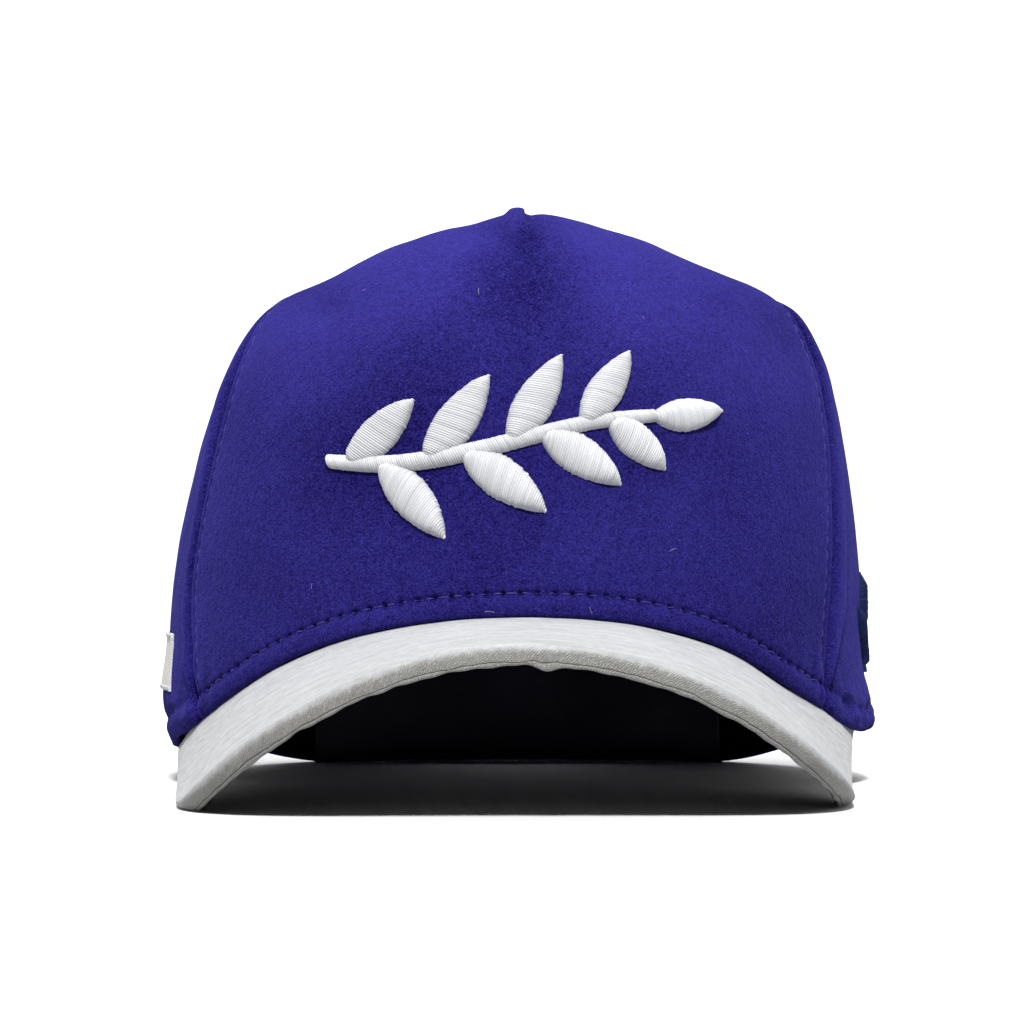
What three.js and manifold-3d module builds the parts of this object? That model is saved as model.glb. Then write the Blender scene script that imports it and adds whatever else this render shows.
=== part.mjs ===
// A five-panel cap with a high front panel, a curved peak and a strap across the arch at the back.
// It stands on a table as it does by itself: on the two sides of the peak and on the rim at the back.
// Millimetres, +Z up. The peak points along -Y, and Z is 0 on the table.
import * as THREE from "three";
import { mergeVertices } from "three/addons/utils/BufferGeometryUtils.js";
import Module from "manifold-3d";

const wasm = await Module();
wasm.setup();

// Driving sizes
const PANEL_THICKNESS = 2.2;
const SEAM_GAP = 0.32;
const CLEARANCE = 0.35;
const FRAME_SHIFT_Y = 35;
const BUTTON_HOLE = 0.965;

const PEAK_THICKNESS = 4.9;
const PEAK_COVER = 3.5;
const PEAK_JOINT_ANGLE = 77;
const PEAK_ROOT_SETBACK = 0.5;
const PEAK_END_INSET = 1.6;
const PEAK_END_THINNING = 0.4;

const SWEATBAND_HEIGHT = 31;
const SWEATBAND_GAP = 0.9;
const SWEATBAND_TUCK = 4.2;
const SWEATBAND_THICKNESS = 1.5;
const SWEATBAND_END_ANGLE = 150;

const ARCH_HALF_WIDTH = 41;
const ARCH_HEIGHT = 44;

const STRAP_HEIGHT = 26.5;
const STRAP_THICKNESS = 1.5;
const STRAP_END_ANGLE = 139;
const STRAP_LAP_ANGLE = 161;
const STRAP_STUDS = 7;
const STRAP_STUD_PITCH = 8.5;
const STRAP_STUD_RADIUS = 2.1;
const STRAP_STUD_HEIGHT = 1.1;

const BUTTON_RADIUS = 7.5;
const BUTTON_HEIGHT = 4.4;
const BUTTON_LIFT = 0.15;
const BUTTON_TILT = 11;

const THREAD_RISE = 2.9;
const PATCH_THICKNESS = 0.9;

// Level sections of the crown's outer face, from the table to the button, on one side.
// Each row has the face's place at its front, corner, side, rear corner and back,
// how far it leans to the right, and how high a crest stands along its middle.
const CROWN_SECTIONS = [
  { lean: 0.5, crest: 0, frontY: -100.6, frontZ: 0, cornerX: 61, cornerY: -70, cornerZ: 0,
    sideX: 84.9, sideY: 2, sideZ: 0, rearX: 62, rearY: 71, rearZ: 0, backY: 98, backZ: 0 },
  { lean: -0.4, crest: 0, frontY: -99.4, frontZ: 28, cornerX: 61.4, cornerY: -69.6, cornerZ: 28,
    sideX: 86, sideY: 1, sideZ: 28, rearX: 62.4, rearY: 71.4, rearZ: 28, backY: 98.8, backZ: 28 },
  { lean: 0.2, crest: 0, frontY: -96.6, frontZ: 55, cornerX: 60.6, cornerY: -67.8, cornerZ: 55,
    sideX: 85, sideY: -1, sideZ: 54, rearX: 61, rearY: 69, rearZ: 54, backY: 96.4, backZ: 54 },
  { lean: 1.4, crest: 0, frontY: -91, frontZ: 82, cornerX: 58.3, cornerY: -63.6, cornerZ: 80.9,
    sideX: 80.5, sideY: -4, sideZ: 79.2, rearX: 56.6, rearY: 62, rearZ: 78, backY: 88, backZ: 78 },
  { lean: 2.4, crest: 0, frontY: -83, frontZ: 106, cornerX: 55.5, cornerY: -57.2, cornerZ: 103.4,
    sideX: 74.9, sideY: -8, sideZ: 97.3, rearX: 49.6, rearY: 51, rearZ: 97, backY: 74, backZ: 96.5 },
  { lean: 3.7, crest: 0.6, frontY: -71.5, frontZ: 123.8, cornerX: 50.7, cornerY: -48.5, cornerZ: 119.5,
    sideX: 64.4, sideY: -11, sideZ: 113.9, rearX: 40.6, rearY: 37.5, rearZ: 111, backY: 55.5, backZ: 110.5 },
  { lean: 2, crest: 2.7, frontY: -53.5, frontZ: 135, cornerX: 40.4, cornerY: -36.5, cornerZ: 127.3,
    sideX: 45.6, sideY: -10, sideZ: 121.4, rearX: 28.6, rearY: 22.5, rearZ: 121.5, backY: 34, backZ: 121.5 },
  { lean: 2.2, crest: 1.1, frontY: -28, frontZ: 135.8, cornerX: 21.3, cornerY: -20.5, cornerZ: 133.5,
    sideX: 24.7, sideY: -6, sideZ: 129.1, rearX: 15, rearY: 10, rearZ: 128.8, backY: 15, backZ: 129 },
  { lean: 1.2, crest: 0, frontY: -3, frontZ: 133, cornerX: 0, cornerY: -3, cornerZ: 133,
    sideX: 0, sideY: -3, sideZ: 133, rearX: 0, rearY: -3, rearZ: 133, backY: -3, backZ: 133 },
];

// Where the crown swells out over the ends of the peak: by how much, and about which height.
const FLARES = [
  { side: -1, swell: 2.2, height: 20, reach: 10 },
  { side: 1, swell: 3.3, height: 14, reach: 12 },
];
const FLARE_ANGLE = 84;
const FLARE_ANGLE_REACH = 20;
const CREST_ANGLE_REACH = 13.2;

// Height of the crown's lower edge on the left and right, by the angle from the front, in degrees.
const RIM_HEIGHTS = [
  { angle: 0, left: 43.1, right: 43.1 },
  { angle: 18, left: 40.7, right: 41.4 },
  { angle: 36, left: 33.6, right: 34.2 },
  { angle: 48, left: 26.2, right: 26.2 },
  { angle: 60, left: 18.3, right: 20.0 },
  { angle: 72, left: 10.8, right: 14.2 },
  { angle: 84, left: 7.3, right: 14.0 },
  { angle: 105, left: 6.8, right: 9.4 },
  { angle: 126, left: 3.9, right: 4.4 },
  { angle: 142, left: 0, right: 0 },
  { angle: 160, left: 0, right: 0 },
  { angle: 180, left: 0, right: 0 },
];

// Angles of the side seams, in degrees from the front, from the rim (0) to the button (1).
const SEAM_ANGLES = [
  { rise: 0, frontLeft: 61.5, frontRight: 59, rear: 121 },
  { rise: 0.16, frontLeft: 66.5, frontRight: 62.6, rear: 122 },
  { rise: 0.34, frontLeft: 67.2, frontRight: 67.2, rear: 123 },
  { rise: 0.5, frontLeft: 67.6, frontRight: 69.6, rear: 123.5 },
  { rise: 0.66, frontLeft: 72, frontRight: 73, rear: 124 },
  { rise: 0.82, frontLeft: 80, frontRight: 80, rear: 124 },
  { rise: 1, frontLeft: 86, frontRight: 86, rear: 124 },
];

// The short dart at the top of the front: how high its left lip stands and how it fades.
const DART = { height: 1.5, halfAngle: 9, dropAngle: 1.6, fromLevel: 0.66, toLevel: 0.72 };

// The upper line of the peak's outer edge, from the middle of the front (0) to the crown (1).
const PEAK_EDGE = [
  { along: 0, x: 0, y: -168, left: 38.7, right: 38.7 },
  { along: 0.17, x: 22, y: -166, left: 35.4, right: 36.5 },
  { along: 0.33, x: 43, y: -159.5, left: 26.8, right: 29.2 },
  { along: 0.46, x: 59, y: -149, left: 16.8, right: 19.5 },
  { along: 0.57, x: 70, y: -135, left: 7.4, right: 10.4 },
  { along: 0.66, x: 75.2, y: -120, left: 1.9, right: 4.5 },
  { along: 0.78, x: 77.2, y: -97, left: 2.3, right: 1.0 },
  { along: 0.9, x: 79.4, y: -62, left: 5.2, right: 5.6 },
  { along: 1, x: 84.2, y: -21.5, left: 8.6, right: 12.6 },
];

// Leaves of the sprig on the front: place along the stem, side of it, length and width.
const SPRIG_LEAVES = [
  { at: 0.07, side: 1, length: 22, width: 9.0 },
  { at: 0.18, side: -1, length: 24, width: 9.4 },
  { at: 0.31, side: 1, length: 24.5, width: 9.6 },
  { at: 0.41, side: -1, length: 24, width: 9.4 },
  { at: 0.53, side: 1, length: 23.5, width: 9.2 },
  { at: 0.62, side: -1, length: 22.5, width: 9 },
  { at: 0.74, side: 1, length: 20.5, width: 8.6 },
  { at: 0.83, side: -1, length: 18.5, width: 8 },
  { at: 0.99, side: 0, length: 19.5, width: 7.6 },
];
const SPRIG_STEM = [
  { across: -48, up: -7, width: 3.2 },
  { across: -28, up: -7.5, width: 4.0 },
  { across: -6, up: -3.5, width: 4.0 },
  { across: 14, up: 1.5, width: 3.6 },
  { across: 31, up: 3.5, width: 3.0 },
];
const SPRIG_CENTRE_Z = 85.5;
const LEAF_SPREAD = 46;

// Leaves of the small raised sprig on the right side, and its stem.
const EMBLEM_LEAVES = [
  { up: 2, lean: 50, length: 14.5, width: 6.4 },
  { up: 6.5, lean: -46, length: 14, width: 6.2 },
  { up: 11, lean: 8, length: 14, width: 6.4 },
];
const EMBLEM_STEM = { length: 12.5, width: 2.6 };
const EMBLEM_ROOT = { angle: 84, z: 27 };

const PATCH = { fromAngle: 74, toAngle: 100, bottom: 22.6, height: 14, slant: 2.5 };

const DEG = Math.PI / 180;
const { cos, sin, sqrt, min, max, abs, PI, SQRT2, SQRT1_2 } = Math;

// A smooth curve through rows of a table: a natural cubic of one named column by another.
function smoothColumn(rows, by, column) {
  const u = rows.map((row) => row[by]);
  const v = rows.map((row) => row[column]);
  const last = u.length - 1;
  const bend = new Array(u.length).fill(0);
  const carry = new Array(u.length).fill(0);
  for (let i = 1; i < last; i++) {
    const before = u[i] - u[i - 1];
    const after = u[i + 1] - u[i];
    const slope = (v[i + 1] - v[i]) / after - (v[i] - v[i - 1]) / before;
    const pivot = 2 * (before + after) - before * carry[i - 1];
    carry[i] = after / pivot;
    bend[i] = (6 * slope - before * bend[i - 1]) / pivot;
  }
  for (let i = last - 1; i > 0; i--) bend[i] -= carry[i] * bend[i + 1];
  return (at) => {
    let i = 0;
    while (i < last - 1 && at > u[i + 1]) i++;
    const step = u[i + 1] - u[i];
    const right = (at - u[i]) / step;
    const left = 1 - right;
    const curve = (left ** 3 - left) * bend[i] + (right ** 3 - right) * bend[i + 1];
    return left * v[i] + right * v[i + 1] + (curve * step * step) / 6;
  };
}

// A one-sided table with a left and a right height, as one table from the far left to the far right.
function bothSides(rows, by) {
  const leftRows = rows.slice(1).reverse();
  const left = leftRows.map((row) => ({ ...row, [by]: -row[by], x: -row.x, height: row.left }));
  const right = rows.map((row) => ({ ...row, height: row.right }));
  return [...left, ...right];
}

const crownRows = CROWN_SECTIONS.map((row, level) => ({ ...row, level: level / (CROWN_SECTIONS.length - 1) }));
const section = {};
for (const name of Object.keys(CROWN_SECTIONS[0])) section[name] = smoothColumn(crownRows, "level", name);

// A round through five stations, 45 degrees apart from front to back, that is the same on both sides.
function evenRound(front, corner, side, rear, back, turn) {
  const sum13 = (front - back) / 2;
  const difference13 = (corner - rear) / SQRT2;
  const ends = (front + back) / 2;
  const sum04 = (ends + side) / 2;
  const difference04 = (corner + rear) / 2;
  return (
    (sum04 + difference04) / 2 +
    ((sum13 + difference13) / 2) * cos(turn) +
    ((ends - side) / 2) * cos(2 * turn) +
    ((sum13 - difference13) / 2) * cos(3 * turn) +
    ((sum04 - difference04) / 2) * cos(4 * turn)
  );
}

// The same for the width, which changes sign from one side to the other.
function oddRound(corner, side, rear, turn) {
  const diagonal = (corner + rear) * SQRT1_2;
  return (
    ((diagonal + side) / 2) * sin(turn) +
    ((corner - rear) / 2) * sin(2 * turn) +
    ((diagonal - side) / 2) * sin(3 * turn)
  );
}

// A bell curve that is 1 at its centre.
const bell = (value, centre, reach) => Math.exp(-(((value - centre) / reach) ** 2));

// How far the dart lifts the top: a lip on the left of the middle that drops off to the right.
function dartLift(turn, level) {
  const angle = turn / DEG;
  const fade = min(1, max(0, (level - DART.fromLevel) / (DART.toLevel - DART.fromLevel)));
  const lip = angle <= 0 ? Math.exp(angle / DART.halfAngle) : max(0, 1 - angle / DART.dropAngle);
  const other = angle <= 0 ? 0 : min(1, angle / DART.dropAngle) * Math.exp(-angle / DART.halfAngle);
  return fade * DART.height * (0.5 * lip - 0.5 * other);
}

// A point of the crown's outer face. turn is the angle from the front and level runs from the table to the button.
function crownFace(turn, level) {
  const at = (name) => section[name](level);
  const angle = turn / DEG;
  const point = new THREE.Vector3(
    at("lean") + oddRound(at("cornerX"), at("sideX"), at("rearX"), turn),
    evenRound(at("frontY"), at("cornerY"), at("sideY"), at("rearY"), at("backY"), turn),
    evenRound(at("frontZ"), at("cornerZ"), at("sideZ"), at("rearZ"), at("backZ"), turn),
  );
  point.z += at("crest") * bell(angle, 0, CREST_ANGLE_REACH) + dartLift(turn, level);
  for (const flare of FLARES) {
    const near = bell(angle, flare.side * FLARE_ANGLE, FLARE_ANGLE_REACH);
    point.x += flare.side * flare.swell * near * bell(point.z, flare.height, flare.reach);
  }
  return point;
}

// The level at which the crown's face has a given height.
function levelAtHeight(turn, height) {
  let low = -0.05;
  let high = 0.72;
  for (let i = 0; i < 40; i++) {
    const middle = (low + high) / 2;
    if (crownFace(turn, middle).z < height) low = middle;
    else high = middle;
  }
  return (low + high) / 2;
}

const rimRows = bothSides(RIM_HEIGHTS, "angle");
const rimCurve = smoothColumn(rimRows, "angle", "height");
const rimHeight = (turn) => max(0, rimCurve(turn / DEG > 180 ? turn / DEG - 360 : turn / DEG));
const rimLevels = new Map();
function rimLevel(turn) {
  const key = turn.toFixed(6);
  if (!rimLevels.has(key)) rimLevels.set(key, levelAtHeight(turn, rimHeight(turn)));
  return rimLevels.get(key);
}

// A point of the outer face, with rise from 0 at the rim to 1 at the button.
function crown(turn, rise) {
  const low = rimLevel(turn);
  return crownFace(turn, low + (1 - low) * rise);
}

// The face's normal, pointing out, for any function of turn and a second value.
function faceNormal(face, turn, value, inside = false) {
  const step = 0.002;
  const across = face(turn + step, value).sub(face(turn - step, value));
  const top = inside ? min(value + step, 1) : value + step;
  const up = face(turn, top).sub(face(turn, value - step));
  return across.cross(up).normalize();
}

// A point at a depth under the crown's outer face.
function underCrown(turn, rise, depth) {
  const normal = faceNormal(crown, turn, rise);
  return crown(turn, rise).addScaledVector(normal, -depth);
}

// A closed solid from two like grids of points, an outer face and an inner face, joined round their border.
function shell(outer, inner) {
  const rows = outer.length;
  const columns = outer[0].length;
  const points = [...outer.flat(), ...inner.flat()];
  const index = (face, row, column) => face * rows * columns + row * columns + column;
  const triangles = [];
  const quad = (a, b, c, d) => triangles.push(a, b, c, a, c, d);
  for (let r = 0; r < rows - 1; r++) {
    for (let c = 0; c < columns - 1; c++) {
      quad(index(0, r, c), index(0, r, c + 1), index(0, r + 1, c + 1), index(0, r + 1, c));
      quad(index(1, r, c), index(1, r + 1, c), index(1, r + 1, c + 1), index(1, r, c + 1));
    }
  }
  for (let c = 0; c < columns - 1; c++) {
    quad(index(1, 0, c), index(1, 0, c + 1), index(0, 0, c + 1), index(0, 0, c));
    quad(index(0, rows - 1, c), index(0, rows - 1, c + 1), index(1, rows - 1, c + 1), index(1, rows - 1, c));
  }
  for (let r = 0; r < rows - 1; r++) {
    quad(index(0, r, 0), index(0, r + 1, 0), index(1, r + 1, 0), index(1, r, 0));
    quad(index(1, r, columns - 1), index(1, r + 1, columns - 1), index(0, r + 1, columns - 1), index(0, r, columns - 1));
  }
  return geometryOf(points, triangles);
}

function geometryOf(points, triangles) {
  const geometry = new THREE.BufferGeometry();
  geometry.setAttribute("position", new THREE.Float32BufferAttribute(points.flatMap((p) => [p.x, p.y, p.z]), 3));
  geometry.setIndex(triangles);
  return geometry;
}

// A geometry as a solid that can be joined and cut, and back.
function solidFrom(geometry) {
  const bare = geometry.clone();
  for (const name of Object.keys(bare.attributes)) if (name !== "position") bare.deleteAttribute(name);
  const merged = mergeVertices(bare, 1e-4);
  const mesh = new wasm.Mesh({
    numProp: 3,
    vertProperties: new Float32Array(merged.attributes.position.array),
    triVerts: new Uint32Array(merged.index.array),
  });
  return new wasm.Manifold(mesh);
}

function geometryFrom(solid, tolerance = 0.02) {
  const mesh = solid.simplify(tolerance).getMesh();
  const geometry = new THREE.BufferGeometry();
  geometry.setAttribute("position", new THREE.BufferAttribute(new Float32Array(mesh.vertProperties), 3));
  geometry.setIndex(new THREE.BufferAttribute(new Uint32Array(mesh.triVerts), 1));
  return geometry;
}

const frontSeamLeft = smoothColumn(SEAM_ANGLES, "rise", "frontLeft");
const frontSeamRight = smoothColumn(SEAM_ANGLES, "rise", "frontRight");
const rearSeam = smoothColumn(SEAM_ANGLES, "rise", "rear");

// How far to turn from a seam, at a rise, to stand half of the seam's gap away from it.
function halfGapTurn(turn, rise) {
  const step = 0.002;
  const length = crown(turn + step, rise).distanceTo(crown(turn - step, rise));
  return (SEAM_GAP / 2 / length) * 2 * step;
}

// The turn of a column of points between two seams. On the front panel two columns bound the dart.
function columnTurn(first, last, column, columns) {
  const middle = columns / 2;
  if (first * last > 0 || column < 0) return first + ((last - first) * column) / columns;
  if (column <= middle) return first * (1 - column / middle);
  const drop = DART.dropAngle * DEG;
  if (column === middle + 1) return drop;
  return drop + ((last - drop) * (column - middle - 1)) / (columns - middle - 1);
}

// A crown panel between two seams, given as functions of rise that return degrees.
function crownPanel(fromSeam, toSeam, columns, rows) {
  const outer = [];
  const inner = [];
  for (let r = 0; r <= rows; r++) {
    const rise = (r / rows) ** 1.2 * BUTTON_HOLE;
    const start = fromSeam(rise) * DEG;
    const end = toSeam(rise) * DEG;
    const first = start + halfGapTurn(start, rise);
    const last = end - halfGapTurn(end, rise);
    outer.push([]);
    inner.push([]);
    for (let c = 0; c <= columns; c++) {
      const turn = columnTurn(first, last, c, columns);
      const face = crown(turn, rise);
      const lining = underCrown(turn, rise, PANEL_THICKNESS);
      if (r === 0) lining.z = face.z;
      outer[r].push(face);
      inner[r].push(lining);
    }
  }
  return shell(outer, inner);
}

// The arch at the back as a bar along Y that cuts the panels.
function archBar() {
  const shape = new THREE.Shape();
  const foot = -5;
  const straight = ARCH_HEIGHT - ARCH_HALF_WIDTH;
  shape.moveTo(-ARCH_HALF_WIDTH, foot);
  shape.lineTo(ARCH_HALF_WIDTH, foot);
  shape.lineTo(ARCH_HALF_WIDTH, straight);
  shape.absarc(0, straight, ARCH_HALF_WIDTH, 0, PI, false);
  shape.closePath();
  const bar = new THREE.ExtrudeGeometry(shape, { depth: 90, bevelEnabled: false, curveSegments: 14 });
  bar.rotateX(PI / 2);
  bar.translate(0, 130, 0);
  return solidFrom(bar);
}

function backPanel(fromSeam, toSeam) {
  const panel = solidFrom(crownPanel(fromSeam, toSeam, 10, 15));
  return geometryFrom(panel.subtract(archBar()));
}

// The peak's top face: along runs from one end (-1) over the middle to the other (1), out from the crown to the edge.
const edgeRows = bothSides(PEAK_EDGE, "along");
const peakEdge = {
  x: smoothColumn(edgeRows, "along", "x"),
  y: smoothColumn(edgeRows, "along", "y"),
  z: smoothColumn(edgeRows, "along", "height"),
};

function peakTop(along, out) {
  const turn = along * PEAK_JOINT_ANGLE * DEG;
  const inset = PANEL_THICKNESS - PEAK_ROOT_SETBACK + PEAK_END_INSET * along ** 8;
  const root = underCrown(turn, 0, inset);
  root.z = rimHeight(turn) - CLEARANCE - 0.15;
  const edge = new THREE.Vector3(peakEdge.x(along), peakEdge.y(along), peakEdge.z(along));
  return root.lerp(edge, out);
}

// A point at a depth under the peak's top face. It thins towards its ends, and nothing goes under the table.
function underPeak(along, out, depth) {
  const normal = faceNormal((a, o) => peakTop(a, o), along, out).negate();
  const thinned = depth * (1 - PEAK_END_THINNING * along ** 6);
  const point = peakTop(along, out).addScaledVector(normal, -thinned);
  point.z = max(0, point.z);
  return point;
}

// One layer of the peak between two depths, with a rounded outer edge where round is more than 0.
function peakLayer(topDepth, bottomDepth, setBack, round) {
  const columns = 36;
  const lengthwise = [0, 0.2, 0.4, 0.6, 0.8, 0.93, 1];
  const outer = [];
  const inner = [];
  for (const share of lengthwise) {
    const upper = [];
    const lower = [];
    for (let c = 0; c <= columns; c++) {
      const along = -1 + (2 * c) / columns;
      const reach = peakTop(along, 1).distanceTo(peakTop(along, 0)) + 0.001;
      const out = max(0, share * (1 - setBack / reach));
      const trim = share === 1 ? round : 0;
      upper.push(underPeak(along, out, topDepth + trim));
      lower.push(underPeak(along, out, bottomDepth - trim));
    }
    outer.push(upper);
    inner.push(lower);
  }
  return shell(inner, outer);
}

// The band inside the rim, from one side of the arch round the front to the other.
function sweatband() {
  const columns = 48;
  const rows = 4;
  const outer = [];
  const inner = [];
  const depth = PANEL_THICKNESS + SWEATBAND_GAP;
  const band = (turn, share, at) => {
    const tuck = SWEATBAND_TUCK * bell(turn / DEG, 0, 45);
    const low = rimHeight(turn) + 0.7 - tuck;
    const level = levelAtHeight(turn, low + SWEATBAND_HEIGHT * share);
    const normal = faceNormal(crownFace, turn, level);
    return crownFace(turn, level).addScaledVector(normal, -at);
  };
  for (let r = 0; r <= rows; r++) {
    outer.push([]);
    inner.push([]);
    for (let c = 0; c <= columns; c++) {
      const turn = (-1 + (2 * c) / columns) * SWEATBAND_END_ANGLE * DEG;
      outer[r].push(band(turn, r / rows, depth));
      inner[r].push(band(turn, r / rows, depth + SWEATBAND_THICKNESS));
    }
  }
  return shell(outer, inner);
}

// A stretch of the closing strap between two angles, at a depth under the crown's face.
function strapBand(fromAngle, toAngle, depth, columns) {
  const outer = [];
  const inner = [];
  for (const share of [0, 1]) {
    outer.push([]);
    inner.push([]);
    for (let c = 0; c <= columns; c++) {
      const turn = (fromAngle + ((toAngle - fromAngle) * c) / columns) * DEG;
      const height = share * STRAP_HEIGHT;
      const level = levelAtHeight(turn, height);
      const normal = faceNormal(crownFace, turn, level);
      normal.z = 0;
      normal.normalize();
      const face = crownFace(turn, level);
      outer[share].push(face.clone().addScaledVector(normal, -depth).setZ(height));
      inner[share].push(face.clone().addScaledVector(normal, -depth - STRAP_THICKNESS).setZ(height));
    }
  }
  return shell(outer, inner);
}

// The strap: one length from side to side, a second layer over its middle, and the studs that close it.
function closingStrap() {
  const depth = PANEL_THICKNESS + SWEATBAND_GAP + SWEATBAND_THICKNESS + CLEARANCE;
  const full = strapBand(STRAP_END_ANGLE, 360 - STRAP_END_ANGLE, depth, 18);
  const lap = strapBand(STRAP_LAP_ANGLE, 360 - STRAP_LAP_ANGLE, depth - STRAP_THICKNESS + 0.3, 12);
  let strap = solidFrom(full).add(solidFrom(lap));
  const level = levelAtHeight(PI, STRAP_HEIGHT / 2);
  for (let i = 0; i < STRAP_STUDS; i++) {
    const across = (i - (STRAP_STUDS - 1) / 2) * STRAP_STUD_PITCH;
    const reach = crownFace(PI, level).y;
    const turn = PI - across / reach;
    const normal = faceNormal(crownFace, turn, level);
    const stud = new THREE.CylinderGeometry(STRAP_STUD_RADIUS * 0.85, STRAP_STUD_RADIUS, STRAP_STUD_HEIGHT + 0.6, 10);
    stud.applyQuaternion(new THREE.Quaternion().setFromUnitVectors(new THREE.Vector3(0, 1, 0), normal));
    const lift = -(depth - STRAP_THICKNESS + 0.3) + STRAP_STUD_HEIGHT / 2 - 0.3;
    const place = crownFace(turn, level).addScaledVector(normal, lift);
    stud.translate(place.x, place.y, STRAP_HEIGHT / 2);
    strap = strap.add(solidFrom(stud));
  }
  return geometryFrom(strap);
}

// The covered button: a turned dome that stands where the panels meet.
function coveredButton() {
  const profile = [new THREE.Vector2(0, 0)];
  const steps = 8;
  profile.push(new THREE.Vector2(BUTTON_RADIUS * 0.92, 0));
  for (let i = 0; i < steps; i++) {
    const angle = (i / steps) * (PI / 2);
    const lift = BUTTON_HEIGHT * 0.25;
    profile.push(new THREE.Vector2(BUTTON_RADIUS * cos(angle), lift + (BUTTON_HEIGHT - lift) * sin(angle)));
  }
  profile.push(new THREE.Vector2(0, BUTTON_HEIGHT));
  const dome = new THREE.LatheGeometry(profile, 20);
  dome.rotateX(PI / 2 - BUTTON_TILT * DEG);
  return dome;
}

// A place on the crown's outer face, given by a length across from a start angle and a height, raised by lift.
function onCrown(startTurn, across, height, lift) {
  const level = levelAtHeight(startTurn, height);
  const step = 0.01;
  const pace = crownFace(startTurn + step, level).distanceTo(crownFace(startTurn - step, level)) / (2 * step);
  const turn = startTurn + across / pace;
  const own = levelAtHeight(turn, height);
  const normal = faceNormal(crownFace, turn, own);
  return crownFace(turn, own).addScaledVector(normal, lift);
}

// A padded satin column: a line of stations with a width, domed over the face that carries it.
// place turns across, up and lift into a point.
function satinColumn(stations, place, rise) {
  const sides = 4;
  const top = [];
  const bottom = [];
  stations.forEach((station, i) => {
    const before = stations[max(0, i - 1)];
    const after = stations[min(stations.length - 1, i + 1)];
    const way = new THREE.Vector2(after.across - before.across, after.up - before.up).normalize();
    const over = [];
    const under = [];
    for (let k = 0; k <= sides; k++) {
      const share = -cos((k / sides) * PI);
      const dome = sqrt(max(0, 1 - share * share)) * rise * min(1, station.width / 4.5);
      const across = station.across + (way.y * share * station.width) / 2;
      const up = station.up - (way.x * share * station.width) / 2;
      over.push(place(across, up, CLEARANCE + 0.25 + dome));
      under.push(place(across, up, CLEARANCE));
    }
    top.push(over);
    bottom.push(under);
  });
  return shell(top, bottom);
}

// A leaf as a satin column: pointed at both ends and widest before its middle.
function leafStations(root, direction, length, width) {
  const count = 7;
  const stations = [];
  for (let i = 0; i <= count; i++) {
    const share = i / count;
    const swell = sin(PI * share ** 0.85) ** 0.75;
    stations.push({
      across: root.across + cos(direction) * length * share,
      up: root.up + sin(direction) * length * share,
      width: max(0.9, width * swell),
    });
  }
  return stations;
}

// The raised sprig on the front: a stem with leaves on alternate sides and one at its tip.
function frontSprig() {
  const rows = SPRIG_STEM.map((row, i) => ({ ...row, along: i / (SPRIG_STEM.length - 1) }));
  const stemAcross = smoothColumn(rows, "along", "across");
  const stemUp = smoothColumn(rows, "along", "up");
  const stemWidth = smoothColumn(rows, "along", "width");
  const place = (across, up, lift) => onCrown(0, across, SPRIG_CENTRE_Z + up, lift);
  const stem = [];
  const steps = 16;
  for (let i = 0; i <= steps; i++) {
    const along = i / steps;
    stem.push({ across: stemAcross(along), up: stemUp(along), width: stemWidth(along) });
  }
  let sprig = solidFrom(satinColumn(stem, place, THREAD_RISE * 0.85));
  for (const leaf of SPRIG_LEAVES) {
    const root = { across: stemAcross(leaf.at), up: stemUp(leaf.at) };
    const step = 0.01;
    const way = Math.atan2(stemUp(leaf.at + step) - stemUp(leaf.at - step), stemAcross(leaf.at + step) - stemAcross(leaf.at - step));
    const direction = way + leaf.side * LEAF_SPREAD * DEG;
    sprig = sprig.add(solidFrom(satinColumn(leafStations(root, direction, leaf.length, leaf.width), place, THREAD_RISE)));
  }
  return geometryFrom(sprig, 0.06);
}

// The small raised sprig on the right side: a short upright stem with leaves on alternate sides.
function sideEmblem() {
  const place = (across, up, lift) => onCrown(EMBLEM_ROOT.angle * DEG, across, EMBLEM_ROOT.z + up, lift);
  const stem = [];
  for (let i = 0; i <= 4; i++) {
    stem.push({ across: 0, up: (i / 4) * EMBLEM_STEM.length, width: EMBLEM_STEM.width });
  }
  let emblem = solidFrom(satinColumn(stem, place, THREAD_RISE * 0.6));
  for (const leaf of EMBLEM_LEAVES) {
    const direction = (90 - leaf.lean) * DEG;
    const root = { across: 0, up: leaf.up };
    emblem = emblem.add(solidFrom(satinColumn(leafStations(root, direction, leaf.length, leaf.width), place, THREAD_RISE * 0.7)));
  }
  return geometryFrom(emblem, 0.06);
}

// The woven patch on the left side.
function sidePatch() {
  const columns = 9;
  const rows = 3;
  const outer = [];
  const inner = [];
  for (let r = 0; r <= rows; r++) {
    outer.push([]);
    inner.push([]);
    for (let c = 0; c <= columns; c++) {
      const share = r / rows;
      const angle = -PATCH.toAngle + ((PATCH.toAngle - PATCH.fromAngle) * c) / columns;
      const turn = (angle - PATCH.slant * share) * DEG;
      const height = PATCH.bottom + PATCH.height * share;
      const level = levelAtHeight(turn, height);
      const normal = faceNormal(crownFace, turn, level);
      inner[r].push(crownFace(turn, level).addScaledVector(normal, CLEARANCE));
      outer[r].push(crownFace(turn, level).addScaledVector(normal, CLEARANCE + PATCH_THICKNESS));
    }
  }
  return shell(outer, inner);
}

const suede = { color: 0x2c2492, roughness: 0.95, metalness: 0 };
const paleFelt = { color: 0xd9d8d5, roughness: 0.95, metalness: 0 };
const whiteThread = { color: 0xe9e9ee, roughness: 0.55, metalness: 0 };
const navyThread = { color: 0x1d2a5c, roughness: 0.6, metalness: 0 };
const bandCloth = { color: 0x1d1a4a, roughness: 0.9, metalness: 0 };
const strapPlastic = { color: 0x241d78, roughness: 0.5, metalness: 0 };

const cap = new THREE.Group();

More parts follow.
